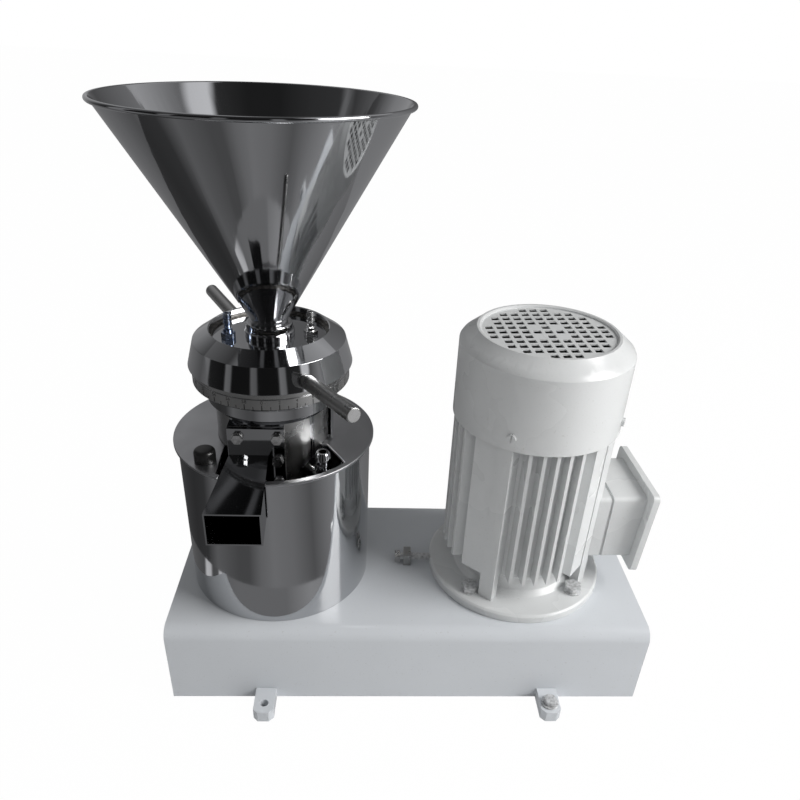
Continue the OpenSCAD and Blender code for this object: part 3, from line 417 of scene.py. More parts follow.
def dark_oxide(s):
    """Dark oxide steel: grey-brown, dull, worn paler in patches."""
    material, tree, shader = new_material("dark_oxide")
    place = add(tree, "ShaderNodeTexCoord")
    patch = add(tree, "ShaderNodeTexNoise", None,
                {"Vector": place.outputs["Object"], "Scale": 220.0, "Detail": 5.0})
    colour = add(tree, "ShaderNodeValToRGB", None, {"Fac": patch.outputs["Fac"]})
    colour.color_ramp.elements[0].position = 0.35
    colour.color_ramp.elements[0].color = (*linear("#565451"), 1)
    colour.color_ramp.elements[1].position = 0.7
    colour.color_ramp.elements[1].color = (*linear("#8b8884"), 1)
    shader.inputs["Metallic"].default_value = 1.0
    shader.inputs["Roughness"].default_value = 0.42
    tree.links.new(colour.outputs["Color"], shader.inputs["Base Color"])
    return material


def enamel_tree(name, s, shade, peel_scale, peel_depth, rough):
    """Brushed-on gloss enamel: faint tone changes, orange peel, dust in patches."""
    material, tree, shader = new_material(name)
    place = add(tree, "ShaderNodeTexCoord")
    tone = add(tree, "ShaderNodeTexNoise", None,
               {"Vector": place.outputs["Object"], "Scale": 9.0, "Detail": 3.0, "Roughness": 0.5})
    white = [c * part for c, part in zip(s.enamel, shade)]
    colour = add(tree, "ShaderNodeValToRGB", None, {"Fac": tone.outputs["Fac"]})
    colour.color_ramp.elements[0].position = 0.25
    colour.color_ramp.elements[0].color = (*[c * 0.95 for c in white], 1)
    colour.color_ramp.elements[1].position = 0.75
    colour.color_ramp.elements[1].color = (*white, 1)
    # Specks of dust 2 mm across
    speck = add(tree, "ShaderNodeTexNoise", None,
                {"Vector": place.outputs["Object"], "Scale": 420.0, "Detail": 2.0})
    cover = add(tree, "ShaderNodeMapRange", None,
                {"Value": speck.outputs["Fac"], "From Min": 0.66, "From Max": 0.8,
                 "To Min": 0.0, "To Max": 0.35})
    mixed = add(tree, "ShaderNodeMix", {"data_type": "RGBA"},
                {0: cover.outputs["Result"], 6: colour.outputs["Color"], 7: (*s.grime, 1)})
    peel = add(tree, "ShaderNodeTexNoise", None,
               {"Vector": place.outputs["Object"], "Scale": peel_scale, "Detail": 2.0})
    bump = add(tree, "ShaderNodeBump", None,
               {"Height": peel.outputs["Fac"], "Strength": 0.35, "Distance": peel_depth * MM})
    gloss = add(tree, "ShaderNodeMapRange", None,
                {"Value": tone.outputs["Fac"], "From Min": 0.3, "From Max": 0.7,
                 "To Min": rough * 0.8, "To Max": rough * 1.4})
    tree.links.new(mixed.outputs[2], shader.inputs["Base Color"])
    tree.links.new(gloss.outputs["Result"], shader.inputs["Roughness"])
    tree.links.new(bump.outputs["Normal"], shader.inputs["Normal"])
    return material


def base_enamel(s):
    """White enamel on folded sheet: smooth and glossy, peel of about 6 mm."""
    # The faint blue cast in this white is a painted reflection of the sky
    return enamel_tree("base_enamel", s, (0.955, 0.975, 1.0), 160.0, 0.12, 0.16)


def motor_enamel(s):
    """White enamel on castings: glossy over a slightly grainy skin of about 2.5 mm."""
    return enamel_tree("motor_enamel", s, (1.0, 1.0, 0.985), 380.0, 0.16, 0.24)


def black_moulding(s):
    """Black moulded plastic: deep, semi-gloss, with a fine moulded grain."""
    material, tree, shader = new_material("black_moulding")
    place = add(tree, "ShaderNodeTexCoord")
    grain = add(tree, "ShaderNodeTexNoise", None,
                {"Vector": place.outputs["Object"], "Scale": 700.0, "Detail": 2.0})
    bump = add(tree, "ShaderNodeBump", None,
               {"Height": grain.outputs["Fac"], "Strength": 0.15, "Distance": 0.1 * MM})
    shader.inputs["Base Color"].default_value = (*linear("#191919"), 1)
    shader.inputs["Roughness"].default_value = 0.28
    tree.links.new(bump.outputs["Normal"], shader.inputs["Normal"])
    return material


def black_rubber(s):
    """Black rubber: flat and slightly dusty."""
    material, tree, shader = new_material("black_rubber")
    place = add(tree, "ShaderNodeTexCoord")
    dust = add(tree, "ShaderNodeTexNoise", None,
               {"Vector": place.outputs["Object"], "Scale": 120.0, "Detail": 5.0})
    colour = add(tree, "ShaderNodeValToRGB", None, {"Fac": dust.outputs["Fac"]})
    colour.color_ramp.elements[0].color = (*linear("#1c1c1c"), 1)
    colour.color_ramp.elements[1].color = (*linear("#333231"), 1)
    shader.inputs["Roughness"].default_value = 0.75
    tree.links.new(colour.outputs["Color"], shader.inputs["Base Color"])
    return material


def machined_iron(s):
    """Machined grey iron: dull grey with a fine open grain."""
    material, tree, shader = new_material("machined_iron")
    place = add(tree, "ShaderNodeTexCoord")
    grain = add(tree, "ShaderNodeTexNoise", None,
                {"Vector": place.outputs["Object"], "Scale": 500.0, "Detail": 4.0})
    colour = add(tree, "ShaderNodeValToRGB", None, {"Fac": grain.outputs["Fac"]})
    colour.color_ramp.elements[0].color = (*linear("#5c5b59"), 1)
    colour.color_ramp.elements[1].color = (*linear("#83827f"), 1)
    bump = add(tree, "ShaderNodeBump", None,
               {"Height": grain.outputs["Fac"], "Strength": 0.2, "Distance": 0.2 * MM})
    shader.inputs["Metallic"].default_value = 1.0
    shader.inputs["Roughness"].default_value = 0.5
    tree.links.new(colour.outputs["Color"], shader.inputs["Base Color"])
    tree.links.new(bump.outputs["Normal"], shader.inputs["Normal"])
    return material


def winding_wire(s):
    """Enamelled copper wire, wound in layers 2 mm apart."""
    material, tree, shader = new_material("winding_wire")
    place = add(tree, "ShaderNodeTexCoord")
    layers = add(tree, "ShaderNodeTexWave", {"wave_type": "BANDS", "bands_direction": "Z"},
                 {"Vector": place.outputs["Object"], "Scale": 160.0, "Distortion": 1.5, "Detail": 2.0})
    colour = add(tree, "ShaderNodeValToRGB", None, {"Fac": layers.outputs["Fac"]})
    colour.color_ramp.elements[0].color = (*linear("#6d3b1c"), 1)
    colour.color_ramp.elements[1].color = (*linear("#c07a45"), 1)
    shader.inputs["Metallic"].default_value = 0.6
    shader.inputs["Roughness"].default_value = 0.4
    tree.links.new(colour.outputs["Color"], shader.inputs["Base Color"])
    return material


def scale_ink(s):
    """Black filling in the engraved scale: flat, rubbed thinner in patches."""
    material, tree, shader = new_material("scale_ink")
    place = add(tree, "ShaderNodeTexCoord")
    rub = add(tree, "ShaderNodeTexNoise", None,
              {"Vector": place.outputs["Object"], "Scale": 300.0, "Detail": 3.0})
    colour = add(tree, "ShaderNodeValToRGB", None, {"Fac": rub.outputs["Fac"]})
    colour.color_ramp.elements[0].color = (*linear("#161616"), 1)
    colour.color_ramp.elements[1].color = (*linear("#3a3a39"), 1)
    shader.inputs["Roughness"].default_value = 0.6
    tree.links.new(colour.outputs["Color"], shader.inputs["Base Color"])
    return material


FINISHES = {f.__name__: f for f in (
    mirror_stainless, painted_shade_stainless, rolled_stainless, satin_plate, turned_steel, plated_fastener,
    dull_zinc, blued_fastener, dark_oxide, base_enamel, motor_enamel, black_moulding, black_rubber,
    machined_iron, winding_wire, scale_ink)}


# Repeated detail


def ticks_tree():
    """A node tree that sets marks round a graduated face, every one of them upright on its radius."""
    proud = 0.1 * MM
    tree = bpy.data.node_groups.new("scale marks", "GeometryNodeTree")
    for name, kind in (("Count", "NodeSocketInt"), ("Radius", "NodeSocketFloat"),
                       ("Height", "NodeSocketFloat"), ("Length", "NodeSocketFloat"),
                       ("Width", "NodeSocketFloat"), ("Turn", "NodeSocketFloat"),
                       ("Finish", "NodeSocketMaterial")):
        tree.interface.new_socket(name, in_out="INPUT", socket_type=kind)
    tree.interface.new_socket("Geometry", in_out="OUTPUT", socket_type="NodeSocketGeometry")
    inlet = add(tree, "NodeGroupInput")
    ring = add(tree, "GeometryNodeMeshCircle", {"fill_type": "NONE"},
               {"Vertices": inlet.outputs["Count"], "Radius": inlet.outputs["Radius"]})
    size = add(tree, "ShaderNodeCombineXYZ", None,
               {"X": proud, "Y": inlet.outputs["Width"], "Z": inlet.outputs["Length"]})
    mark = add(tree, "GeometryNodeMeshCube", None, {"Size": size.outputs["Vector"]})
    index = add(tree, "GeometryNodeInputIndex")
    step = add(tree, "ShaderNodeMath", {"operation": "DIVIDE"}, {0: 2 * math.pi, 1: inlet.outputs["Count"]})
    angle = add(tree, "ShaderNodeMath", {"operation": "MULTIPLY"},
                {0: index.outputs["Index"], 1: step.outputs["Value"]})
    turn = add(tree, "ShaderNodeCombineXYZ", None, {"Z": angle.outputs["Value"]})
    upright = add(tree, "FunctionNodeEulerToRotation", None, {"Euler": turn.outputs["Vector"]})
    marks = add(tree, "GeometryNodeInstanceOnPoints", None,
                {"Points": ring.outputs["Mesh"], "Instance": mark.outputs["Mesh"],
                 "Rotation": upright.outputs["Rotation"]})
    lift = add(tree, "ShaderNodeCombineXYZ", None, {"Z": inlet.outputs["Height"]})
    swing = add(tree, "ShaderNodeCombineXYZ", None, {"Z": inlet.outputs["Turn"]})
    solid = add(tree, "GeometryNodeRealizeInstances", None, {"Geometry": marks.outputs["Instances"]})
    placed = add(tree, "GeometryNodeTransform", None,
                 {"Geometry": solid.outputs["Geometry"], "Translation": lift.outputs["Vector"],
                  "Rotation": swing.outputs["Vector"]})
    inked = add(tree, "GeometryNodeSetMaterial", None,
                {"Geometry": placed.outputs["Geometry"], "Material": inlet.outputs["Finish"]})
    add(tree, "NodeGroupOutput", None, {"Geometry": inked.outputs["Geometry"]})
    return tree


def grown(name, tree, values):
    """An object whose mesh a node tree makes, with the tree's inputs set by their identifiers."""
    piece = new_object(name, bpy.data.meshes.new(name))
    maker = piece.modifiers.new("maker", "NODES")
    maker.node_group = tree
    for item in tree.interface.items_tree:
        if item.in_out == "INPUT" and item.name in values:
            maker[item.identifier] = values[item.name]
    piece.update_tag()
    return plain_mesh(piece, name)


def move_mesh(piece, x, y, z=0.0):
    """Moves a piece's mesh and leaves its object at the origin."""
    piece.data.transform(Matrix.Translation((x, y, z)))


def thread_tree():
    """A node tree that sets thread ridges along X, one after another."""
    tree = bpy.data.node_groups.new("thread ridges", "GeometryNodeTree")
    for name, kind in (("Count", "NodeSocketInt"), ("Pitch", "NodeSocketFloat"),
                       ("Radius", "NodeSocketFloat"), ("Depth", "NodeSocketFloat"),
                       ("Finish", "NodeSocketMaterial")):
        tree.interface.new_socket(name, in_out="INPUT", socket_type=kind)
    tree.interface.new_socket("Geometry", in_out="OUTPUT", socket_type="NodeSocketGeometry")
    inlet = add(tree, "NodeGroupInput")
    spine = add(tree, "GeometryNodeCurvePrimitiveCircle", None,
                {"Resolution": 28, "Radius": inlet.outputs["Radius"]})
    section = add(tree, "GeometryNodeCurvePrimitiveCircle", None,
                  {"Resolution": 6, "Radius": inlet.outputs["Depth"]})
    ridge = add(tree, "GeometryNodeCurveToMesh", None,
                {"Curve": spine.outputs["Curve"], "Profile Curve": section.outputs["Curve"]})
    across = add(tree, "GeometryNodeTransform", None,
                 {"Geometry": ridge.outputs["Mesh"], "Rotation": (0.0, math.pi / 2, 0.0)})
    step = add(tree, "ShaderNodeCombineXYZ", None, {"X": inlet.outputs["Pitch"]})
    row = add(tree, "GeometryNodeMeshLine", {"mode": "OFFSET"},
              {"Count": inlet.outputs["Count"], "Offset": step.outputs["Vector"]})
    ridges = add(tree, "GeometryNodeInstanceOnPoints", None,
                 {"Points": row.outputs["Mesh"], "Instance": across.outputs["Geometry"]})
    solid = add(tree, "GeometryNodeRealizeInstances", None, {"Geometry": ridges.outputs["Instances"]})
    dressed = add(tree, "GeometryNodeSetMaterial", None,
                  {"Geometry": solid.outputs["Geometry"], "Material": inlet.outputs["Finish"]})
    add(tree, "NodeGroupOutput", None, {"Geometry": dressed.outputs["Geometry"]})
    return tree


def figures(name, labels, radius, height, size):
    """Numbers set round an upright cylinder, each read from outside: labels are (text, angle)."""
    work = bmesh.new()
    for text, angle in labels:
        curve = bpy.data.curves.new("figure", "FONT")
        curve.body = text
        curve.size = size
        curve.align_x = "CENTER"
        curve.align_y = "CENTER"
        curve.resolution_u = 3
        holder = bpy.data.objects.new("figure", curve)
        mesh = bpy.data.meshes.new_from_object(holder)
        for vertex in mesh.vertices:
            across = angle + vertex.co.x / radius
            vertex.co = Vector((radius * math.cos(across), radius * math.sin(across), height + vertex.co.y))
        work.from_mesh(mesh)
        bpy.data.objects.remove(holder)
        bpy.data.curves.remove(curve)
        bpy.data.meshes.remove(mesh)
    mesh = bpy.data.meshes.new(name)
    work.to_mesh(mesh)
    work.free()
    return new_object(name, mesh)


def lathe(name, outline, steps=48):
    """A closed turned shape about Z from (radius, height) pairs that start and end on the axis."""
    work = bmesh.new()
    rows = []
    for k in range(steps):
        a = 2 * math.pi * k / steps
        rows.append([work.verts.new((r * math.cos(a), r * math.sin(a), z)) for r, z in outline])
    for k in range(steps):
        here, there = rows[k], rows[(k + 1) % steps]
        for i in range(len(outline) - 1):
            work.faces.new((here[i], there[i], there[i + 1], here[i + 1]))
    bmesh.ops.remove_doubles(work, verts=work.verts, dist=1e-6)
    bmesh.ops.recalc_face_normals(work, faces=work.faces)
    for face in work.faces:
        face.smooth = True
    mesh = bpy.data.meshes.new(name)
    work.to_mesh(mesh)
    work.free()
    mesh.set_sharp_from_angle(angle=math.radians(35))
    return new_object(name, mesh)


# Operators: one for each piece or group of like pieces


class MILL_OT_base(Operator):
    """Enamels the base box and its lugs, and sets the bolt in one lug."""
    bl_idname = "mill.base"
    bl_label = "Base"

    def execute(self, context):
        ease("base_frame", 0.8, "base_enamel")
        ease("anchor_lugs", 1.2, "base_enamel", 3)
        low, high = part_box("anchor_lugs")
        hole = Vector((high[0] - LUG_W / 2, low[1] + HOLE_IN, high[2]))
        washer_h = 1.6 * MM
        head_r = 7.5 * MM
        head_h = 5.3 * MM
        head_turn = 0.4
        head_round = 0.5 * MM
        work = bmesh.new()
        stand = Matrix.Translation(hole + Vector((0, 0, washer_h + head_h / 2)))
        bmesh.ops.create_cone(work, cap_ends=True, segments=6, radius1=head_r, radius2=head_r, depth=head_h,
                              matrix=stand @ Matrix.Rotation(head_turn, 4, "Z"))
        bmesh.ops.bevel(work, geom=work.edges[:], offset=head_round, segments=2, affect="EDGES")
        mesh = bpy.data.meshes.new("anchor_bolt_head")
        work.to_mesh(mesh)
        work.free()
        head = new_object("anchor_bolt_head", mesh)
        seat(head, "base", "dull_zinc")
        rim = head_r + 2 * MM
        corner = 0.3 * MM
        washer = lathe("anchor_washer", [
            (0, 0), (rim - corner, 0), (rim, corner), (rim, washer_h - corner), (rim - corner, washer_h),
            (0, washer_h)])
        move_mesh(washer, *hole)
        seat(washer, "base", "dull_zinc")
        return {"FINISHED"}


class MILL_OT_drum(Operator):
    """Polishes the drum, its top plate and what stands on it."""
    bl_idname = "mill.drum"
    bl_label = "Drum"

    def execute(self, context):
        ease("drum", 0.5, "rolled_stainless")
        ease("drum_top_plate", 0.7, "satin_plate", 3)
        ease("oil_plug", 0.8, "black_moulding", 3)
        ease("drain_fitting", 0.3, "mirror_stainless")
        ease("scale_pointer", 0.6, "mirror_stainless")
        return {"FINISHED"}


class MILL_OT_housing(Operator):
    """Polishes the mill housing and finishes what it holds."""
    bl_idname = "mill.housing"
    bl_label = "Mill housing"

    def execute(self, context):
        housing = ease("mill_housing", 0.6, "mirror_stainless")
        # The foot of the housing, down in the drum's cut-out, is turned but not polished
        foot_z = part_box("drum_top_plate")[1][2] + 4 * MM
        second_finish(housing, "turned_steel", lambda centre, normal: centre.z < foot_z)
        paint(["bearing_housing", "bearing_cover", "seal_seat"], "machined_iron")
        paint(["mill_bearings", "mill_inner_rings", "mill_shaft", "rotor", "stator"], "turned_steel")
        paint(["housing_bolts", "rotor_nut"], "plated_fastener")
        paint(["seal_ring", "carrier_o_ring", "chute_gasket"], "black_rubber")
        return {"FINISHED"}


class MILL_OT_chute(Operator):
    """Polishes the discharge chute and its bolts."""
    bl_idname = "mill.chute"
    bl_label = "Discharge chute"

    def execute(self, context):
        # The chute's steel is darkened as painted shade
        ease("discharge_chute", 0.4, "painted_shade_stainless")
        ease("chute_bolts", 0.4, "plated_fastener")
        return {"FINISHED"}


class MILL_OT_ring(Operator):
    """Polishes the adjusting ring and handles, and engraves the scale under the band."""
    bl_idname = "mill.ring"
    bl_label = "Adjusting ring"

    def execute(self, context):
        s = context.scene.mill_scale
        ring = ease("adjusting_ring", 0.5, "mirror_stainless", 3, 20)
        ease("handle_front", 0.6, "turned_steel", 3)
        ease("handle_rear", 0.6, "turned_steel", 3)
        paint(["retaining_ring"], "dark_oxide")
        low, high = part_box("adjusting_ring")
        face_r = (high[0] - low[0]) / 2 - s.inset
        foot = low[2] + s.foot

        def on_scale(centre, normal):
            off = abs((centre.xy - MILL).length - face_r)
            return abs(normal.z) < 0.2 and off < 1.2 * MM and centre.z > foot - 3 * MM

        second_finish(ring, "turned_steel", on_scale)
        ink = finish("scale_ink")
        tree = ticks_tree()
        count = s.divisions // s.numbered
        # Zero faces the front, and a numbered mark is longer and wider than the others
        zero = -math.pi / 2
        tall = s.tick * 1.6
        short = grown("scale_marks_short", tree, {
            "Count": s.divisions, "Radius": face_r, "Height": foot + s.tick / 2, "Length": s.tick,
            "Width": s.line, "Turn": zero, "Finish": ink})
        long = grown("scale_marks_long", tree, {
            "Count": count, "Radius": face_r, "Height": foot + tall / 2, "Length": tall,
            "Width": s.line * 1.3, "Turn": zero, "Finish": ink})
        labels = [(str(k * s.numbered), 2 * math.pi * k / count + zero) for k in range(count)]
        middle = foot + tall + s.figure * 0.5
        numbers = figures("scale_numbers", labels, face_r + 0.05 * MM, middle, s.figure)
        for piece in (short, long, numbers):
            move_mesh(piece, MILL.x, MILL.y)
            seat(piece, "adjusting_ring", "scale_ink")
        return {"FINISHED"}


class MILL_OT_hopper(Operator):
    """Polishes the hopper, its hub, the carrier and the nipples."""
    bl_idname = "mill.hopper"
    bl_label = "Hopper"

    def execute(self, context):
        ease("hopper", 0.3, "mirror_stainless", 2, 40)
        ease("hopper_hub", 0.6, "mirror_stainless", 3)
        ease("stator_carrier", 0.5, "mirror_stainless")
        nipples = ease("cooling_nipples", 0.3, "plated_fastener")
        second_finish(nipples, "blued_fastener", lambda centre, normal: centre.x < MILL.x)
        return {"FINISHED"}


class MILL_OT_motor(Operator):
    """Enamels the motor, finishes its bolts, and darkens the inside of the fan cover and the rear shield as
    painted shade.
    """
    bl_idname = "mill.motor"
    bl_label = "Motor"

    def execute(self, context):
        ease("motor_flange", 1.0, "motor_enamel", 3)
        ease("motor_frame", 0.8, "motor_enamel")
        cover = ease("fan_cover", 0.45, "motor_enamel", 2, 24)
        grille_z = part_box("fan_cover")[1][2] - 4 * MM

        def inside(centre, normal):
            radial = centre.xy - MOTOR
            inward = normal.xy.dot(radial) < -0.5 * radial.length
            return normal.z < -0.5 or (inward and centre.z < grille_z)

        # Dark oxide on the inside faces of the fan cover is painted shade, so that the grille holes read dark
        second_finish(cover, "dark_oxide", inside)
        ease("fan_cover_screws", 0.3, "motor_enamel")
        ease("motor_bolts", 0.5, "dull_zinc")
        # Dull grey iron on the rear shield under the fan is painted shade seen through the grille
        paint(["rear_shield"], "machined_iron")
        paint(["motor_bearings", "motor_inner_rings", "motor_shaft", "rotor_core"], "turned_steel")
        paint(["stator_core"], "winding_wire")
        paint(["fan"], "black_moulding")
        return {"FINISHED"}


class MILL_OT_terminals(Operator):
    """Enamels the terminal box and its cover."""
    bl_idname = "mill.terminals"
    bl_label = "Terminal box"

    def execute(self, context):
        ease("terminal_box", 1.0, "motor_enamel", 3)
        ease("terminal_cover", 1.2, "motor_enamel", 3)
        ease("terminal_cover_screws", 0.25, "motor_enamel")
        ease("cable_plug", 0.5, "black_moulding")
        paint(["terminal_board"], "black_moulding")
        return {"FINISHED"}


class MILL_OT_drive(Operator):
    """Finishes the belt drive and the tension screw with its thread."""
    bl_idname = "mill.drive"
    bl_label = "Belt drive"

    def execute(self, context):
        ease("tension_lug", 0.8, "turned_steel")
        screw = ease("tension_screw", 0.4, "turned_steel")
        paint(["mill_pulley", "motor_pulley"], "machined_iron")
        paint(["drive_belts"], "black_rubber")
        low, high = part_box("tension_screw")
        lug_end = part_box("tension_lug")[1][0]
        # The thread runs through the lug: bright crests just proud of a dull shank
        second_finish(screw, "dull_zinc", lambda centre, normal: centre.x > lug_end)
        pitch = 1.25 * MM
        crest_r = 3.70 * MM
        crest_depth = 0.35 * MM
        start = lug_end + 1.2 * MM
        count = int((high[0] - start) / pitch)
        thread = grown("tension_thread", thread_tree(), {
            "Count": count, "Pitch": pitch, "Radius": crest_r, "Depth": crest_depth,
            "Finish": finish("turned_steel")})
        move_mesh(thread, start, (low[1] + high[1]) / 2, (low[2] + high[2]) / 2)
        seat(thread, "tension_screw", "turned_steel")
        return {"FINISHED"}


# Stage


def card(name, inner, outer, ramp, steps=48):
    """A reflection card that only shiny surfaces see: a band about the mill axis between two circles.

    The circles are (radius, height). The ramp has (azimuth in degrees, level) pairs, from the right over
    the back, the left and the front."""
    work = bmesh.new()
    rows = []
    for k in range(steps):
        a = 2 * math.pi * k / steps
        across, along = math.cos(a), math.sin(a)
        rows.append([work.verts.new((MILL.x + r * across, MILL.y + r * along, z)) for r, z in (inner, outer)])
    for k in range(steps):
        here, there = rows[k], rows[(k + 1) % steps]
        work.faces.new((here[0], here[1], there[1], there[0]))
    mesh = bpy.data.meshes.new(name)
    work.to_mesh(mesh)
    work.free()
    piece = new_object(name, mesh)
    material, tree = empty_material(name)
    place = add(tree, "ShaderNodeTexCoord")
    centre = add(tree, "ShaderNodeMapping", {"vector_type": "TEXTURE"},
                 {"Vector": place.outputs["Object"], "Location": (MILL.x, MILL.y, 0.0),
                  "Rotation": (0.0, 0.0, math.pi)})
    sweep = add(tree, "ShaderNodeTexGradient", {"gradient_type": "RADIAL"},
                {"Vector": centre.outputs["Vector"]})
    tone = add(tree, "ShaderNodeValToRGB", None, {"Fac": sweep.outputs["Fac"]})
    while len(tone.color_ramp.elements) < len(ramp):
        tone.color_ramp.elements.new(0.5)
    for element, (azimuth, level) in zip(tone.color_ramp.elements, ramp):
        element.position = azimuth / 360
        element.color = (level, level, level * 1.02, 1)
    glow = add(tree, "ShaderNodeEmission", None, {"Color": tone.outputs["Color"], "Strength": 1.0})
    add(tree, "ShaderNodeOutputMaterial", None, {"Surface": glow.outputs["Emission"]})
    piece.data.materials.append(material)
    piece.visible_camera = False
    piece.visible_diffuse = False
    piece.visible_transmission = False
    piece.visible_shadow = False


def lamp(name, place, aim, size, power, colour):
    """A soft box that looks at a point."""
    data = bpy.data.lights.new(name, "AREA")
    data.shape = "RECTANGLE"
    data.size, data.size_y = size
    data.energy = power
    data.color = colour
    thing = bpy.data.objects.new(name, data)
    thing.location = place
    thing.rotation_euler = (Vector(aim) - Vector(place)).to_track_quat("-Z", "Y").to_euler()
    bpy.context.collection.objects.link(thing)
    return thing


def set_camera(scene, lens):
    """A camera above the front, turned by its yaw, pitch and roll."""
    eye = (-0.05455, -0.64500, 0.65862)
    yaw, pitch, roll = math.radians(3.44), math.radians(-31.08), math.radians(2.9)
    ahead = Vector((math.sin(yaw) * math.cos(pitch), math.cos(yaw) * math.cos(pitch), math.sin(pitch)))
    right = Vector((math.cos(yaw), -math.sin(yaw), 0.0))
    up = right.cross(ahead)
    across = right * math.cos(roll) + up * math.sin(roll)
    above = up * math.cos(roll) - right * math.sin(roll)
    data = bpy.data.cameras.new("camera")
    data.sensor_width = 36.0
    data.lens = lens
    data.shift_y = 0.05
    camera = bpy.data.objects.new("camera", data)
    turned = Matrix((across, above, -ahead)).transposed().to_4x4()
    camera.matrix_world = Matrix.Translation(eye) @ turned
    bpy.context.collection.objects.link(camera)
    scene.camera = camera


def clear_view(tree):
    """A factor of 1 for what the camera sees, straight or by way of gloss or glass, and 0 for other light."""
    ray = add(tree, "ShaderNodeLightPath")
    seen = add(tree, "ShaderNodeMath", {"operation": "MAXIMUM"},
               {0: ray.outputs["Is Camera Ray"], 1: ray.outputs["Is Glossy Ray"]})
    clear = add(tree, "ShaderNodeMath", {"operation": "MAXIMUM"},
                {0: seen.outputs["Value"], 1: ray.outputs["Is Transmission Ray"]})
    return clear.outputs["Value"]


def set_world(scene, sky):
    """A white room to the eye that gives less light than it shows."""
    world = bpy.data.worlds.new("room")
    scene.world = world
    world.use_nodes = True
    tree = world.node_tree
    tree.nodes.clear()
    level = add(tree, "ShaderNodeMapRange", None, {"Value": clear_view(tree), "To Min": sky, "To Max": 1.0})
    air = add(tree, "ShaderNodeBackground", None,
              {"Color": (1.0, 1.0, 1.0, 1.0), "Strength": level.outputs["Result"]})
    add(tree, "ShaderNodeOutputWorld", None, {"Surface": air.outputs["Background"]})


def set_floor():
    """A floor that shows white and keeps a trace of its shadows."""
    half = 12.0
    drop = -1.0 * MM
    shown_white = 0.99
    floor = bpy.data.meshes.new("floor")
    floor.from_pydata(
        [(-half, -half, drop), (half, -half, drop), (half, half, drop), (-half, half, drop)], [],
        [(0, 1, 2, 3)])
    ground = new_object("floor", floor)
    material, tree, shader = new_material("white_floor")
    shader.inputs["Base Color"].default_value = (0.9, 0.9, 0.9, 1)
    shader.inputs["Roughness"].default_value = 0.9
    share = add(tree, "ShaderNodeMath", {"operation": "MULTIPLY"}, {0: clear_view(tree), 1: shown_white})
    glow = add(tree, "ShaderNodeEmission", None, {"Color": (1.0, 1.0, 1.0, 1.0), "Strength": 1.0})
    mix = add(tree, "ShaderNodeMixShader", None,
              {0: share.outputs["Value"], 1: shader.outputs["BSDF"], 2: glow.outputs["Emission"]})
    tree.links.new(mix.outputs["Shader"], tree.nodes["Material Output"].inputs["Surface"])
    floor.materials.append(material)


def set_cards():
    """The workshop that the polished steel mirrors."""
    ground_z = -0.4 * MM
    tall = 2.6
    axis_r, near_r, mid_r, far_r = 0.001, 0.26, 0.75, 3.2
    overhead_r = 0.7
    # Ground: what the hopper mirrors is near, what the drum mirrors lies further out
    card("near_ground", (axis_r, ground_z), (near_r, ground_z),
         [(0, 0.18), (60, 0.14), (150, 0.12), (182, 0.10), (186, 0.70), (193, 0.65), (196, 0.10),
          (204, 0.12), (207, 0.75), (213, 0.60), (217, 0.19), (230, 0.21), (255, 0.21), (280, 0.21),
          (305, 0.36), (335, 0.34), (360, 0.18)])
    card("mid_ground", (near_r, ground_z), (mid_r, ground_z),
         [(0, 0.30), (60, 0.16), (130, 0.06), (172, 0.04), (190, 0.05), (205, 0.16), (232, 0.10),
          (243, 0.10), (256, 0.20), (270, 0.25), (290, 0.22), (312, 0.13), (345, 0.34), (360, 0.30)])
    card("far_ground", (mid_r, ground_z), (far_r, ground_z),
         [(0, 0.30), (90, 0.25), (150, 0.18), (170, 0.12), (190, 0.22), (212, 0.10), (240, 0.14),
          (270, 0.06), (305, 0.24), (325, 0.80), (340, 0.70), (360, 0.30)])
    # Walls with dark machines before them
    card("wall", (far_r, ground_z), (far_r, tall),
         [(0, 0.10), (25, 0.30), (55, 0.20), (85, 0.10), (96, 0.14), (108, 0.36), (130, 0.30),
          (150, 0.08), (168, 0.02), (171, 0.26), (184, 0.22), (187, 0.02), (212, 0.01), (214, 0.20),
          (221, 0.16), (223, 0.01), (248, 0.01), (250, 0.16), (257, 0.14), (259, 0.01), (286, 0.01),
          (288, 0.24), (295, 0.20), (297, 0.02), (316, 0.03), (319, 0.80), (328, 0.80), (331, 0.10),
          (345, 0.30), (360, 0.10)])
    # Ceiling: dark overhead, with a window to the right
    card("overhead", (axis_r, tall), (overhead_r, tall), [(0, 0.05), (180, 0.04), (360, 0.05)])
    card("ceiling", (overhead_r, tall), (far_r, tall),
         [(0, 0.20), (40, 0.50), (70, 0.16), (90, 0.10), (108, 0.36), (140, 0.20), (172, 0.06),
          (180, 0.20), (186, 0.05), (215, 0.04), (250, 0.02), (290, 0.02), (326, 0.04), (334, 0.85),
          (352, 0.80), (360, 0.20)])


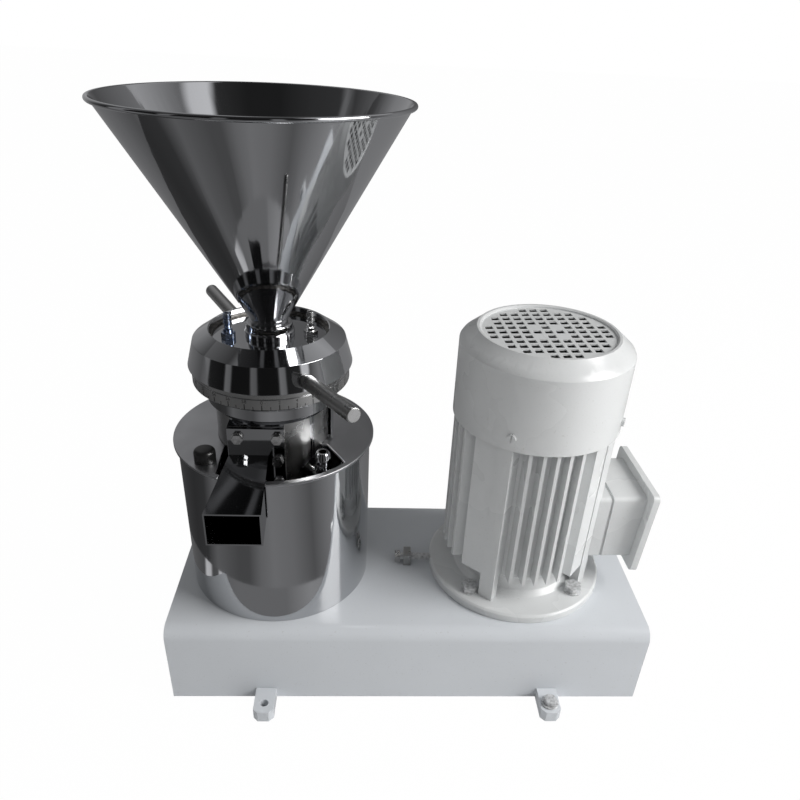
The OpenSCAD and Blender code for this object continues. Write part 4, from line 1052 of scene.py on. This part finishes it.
class MILL_OT_stage(Operator):
    """Sets the camera, the white floor, the lamps and the reflection cards."""
    bl_idname = "mill.stage"
    bl_label = "Stage"

    def execute(self, context):
        s = context.scene.mill_stage
        context.scene.view_settings.view_transform = "Standard"
        set_camera(context.scene, s.lens)
        set_world(context.scene, s.sky)
        set_floor()
        set_cards()
        lamp("key_lamp", (1.70, -0.62, 1.40), (0.05, 0.0, 0.25), (1.2, 1.2), s.key, (1.0, 0.99, 0.98))
        fill = lamp("fill_lamp", (-0.6, -2.0, 1.4), (0.0, 0.0, 0.2), (1.6, 1.2), s.fill, (0.97, 0.98, 1.0))
        # The fill is soft light only: the steel doesn't mirror it
        fill.visible_glossy = False
        return {"FINISHED"}


class MILL_PT_panel(Panel):
    """Lists the pieces and the settings."""
    bl_label = "Colloid mill"
    bl_idname = "MILL_PT_panel"
    bl_space_type = "VIEW_3D"
    bl_region_type = "UI"
    bl_category = "Mill"

    def draw(self, context):
        column = self.layout.column()
        for operator in OPERATORS:
            column.operator(operator.bl_idname)
        for group in (context.scene.mill_finish, context.scene.mill_scale, context.scene.mill_stage):
            for name in group.bl_rna.properties.keys():
                if name not in {"rna_type", "name"}:
                    column.prop(group, name)


OPERATORS = (
    MILL_OT_base, MILL_OT_drum, MILL_OT_housing, MILL_OT_chute, MILL_OT_ring, MILL_OT_hopper, MILL_OT_motor,
    MILL_OT_terminals, MILL_OT_drive, MILL_OT_stage)
CLASSES = (MillFinishSettings, MillScaleSettings, MillStageSettings, *OPERATORS, MILL_PT_panel)


def register():
    """Registers the classes and the scene's settings."""
    for cls in CLASSES:
        bpy.utils.register_class(cls)
    bpy.types.Scene.mill_finish = PointerProperty(type=MillFinishSettings)
    bpy.types.Scene.mill_scale = PointerProperty(type=MillScaleSettings)
    bpy.types.Scene.mill_stage = PointerProperty(type=MillStageSettings)


def unregister():
    """Takes the settings and the classes away again."""
    del bpy.types.Scene.mill_stage
    del bpy.types.Scene.mill_scale
    del bpy.types.Scene.mill_finish
    for cls in reversed(CLASSES):
        bpy.utils.unregister_class(cls)


def main():
    """Registers the settings, dresses the mill and sets the stage."""
    register()
    for operator in OPERATORS:
        group, name = operator.bl_idname.split(".")
        getattr(getattr(bpy.ops, group), name)()


if __name__ == "__main__":
    main()
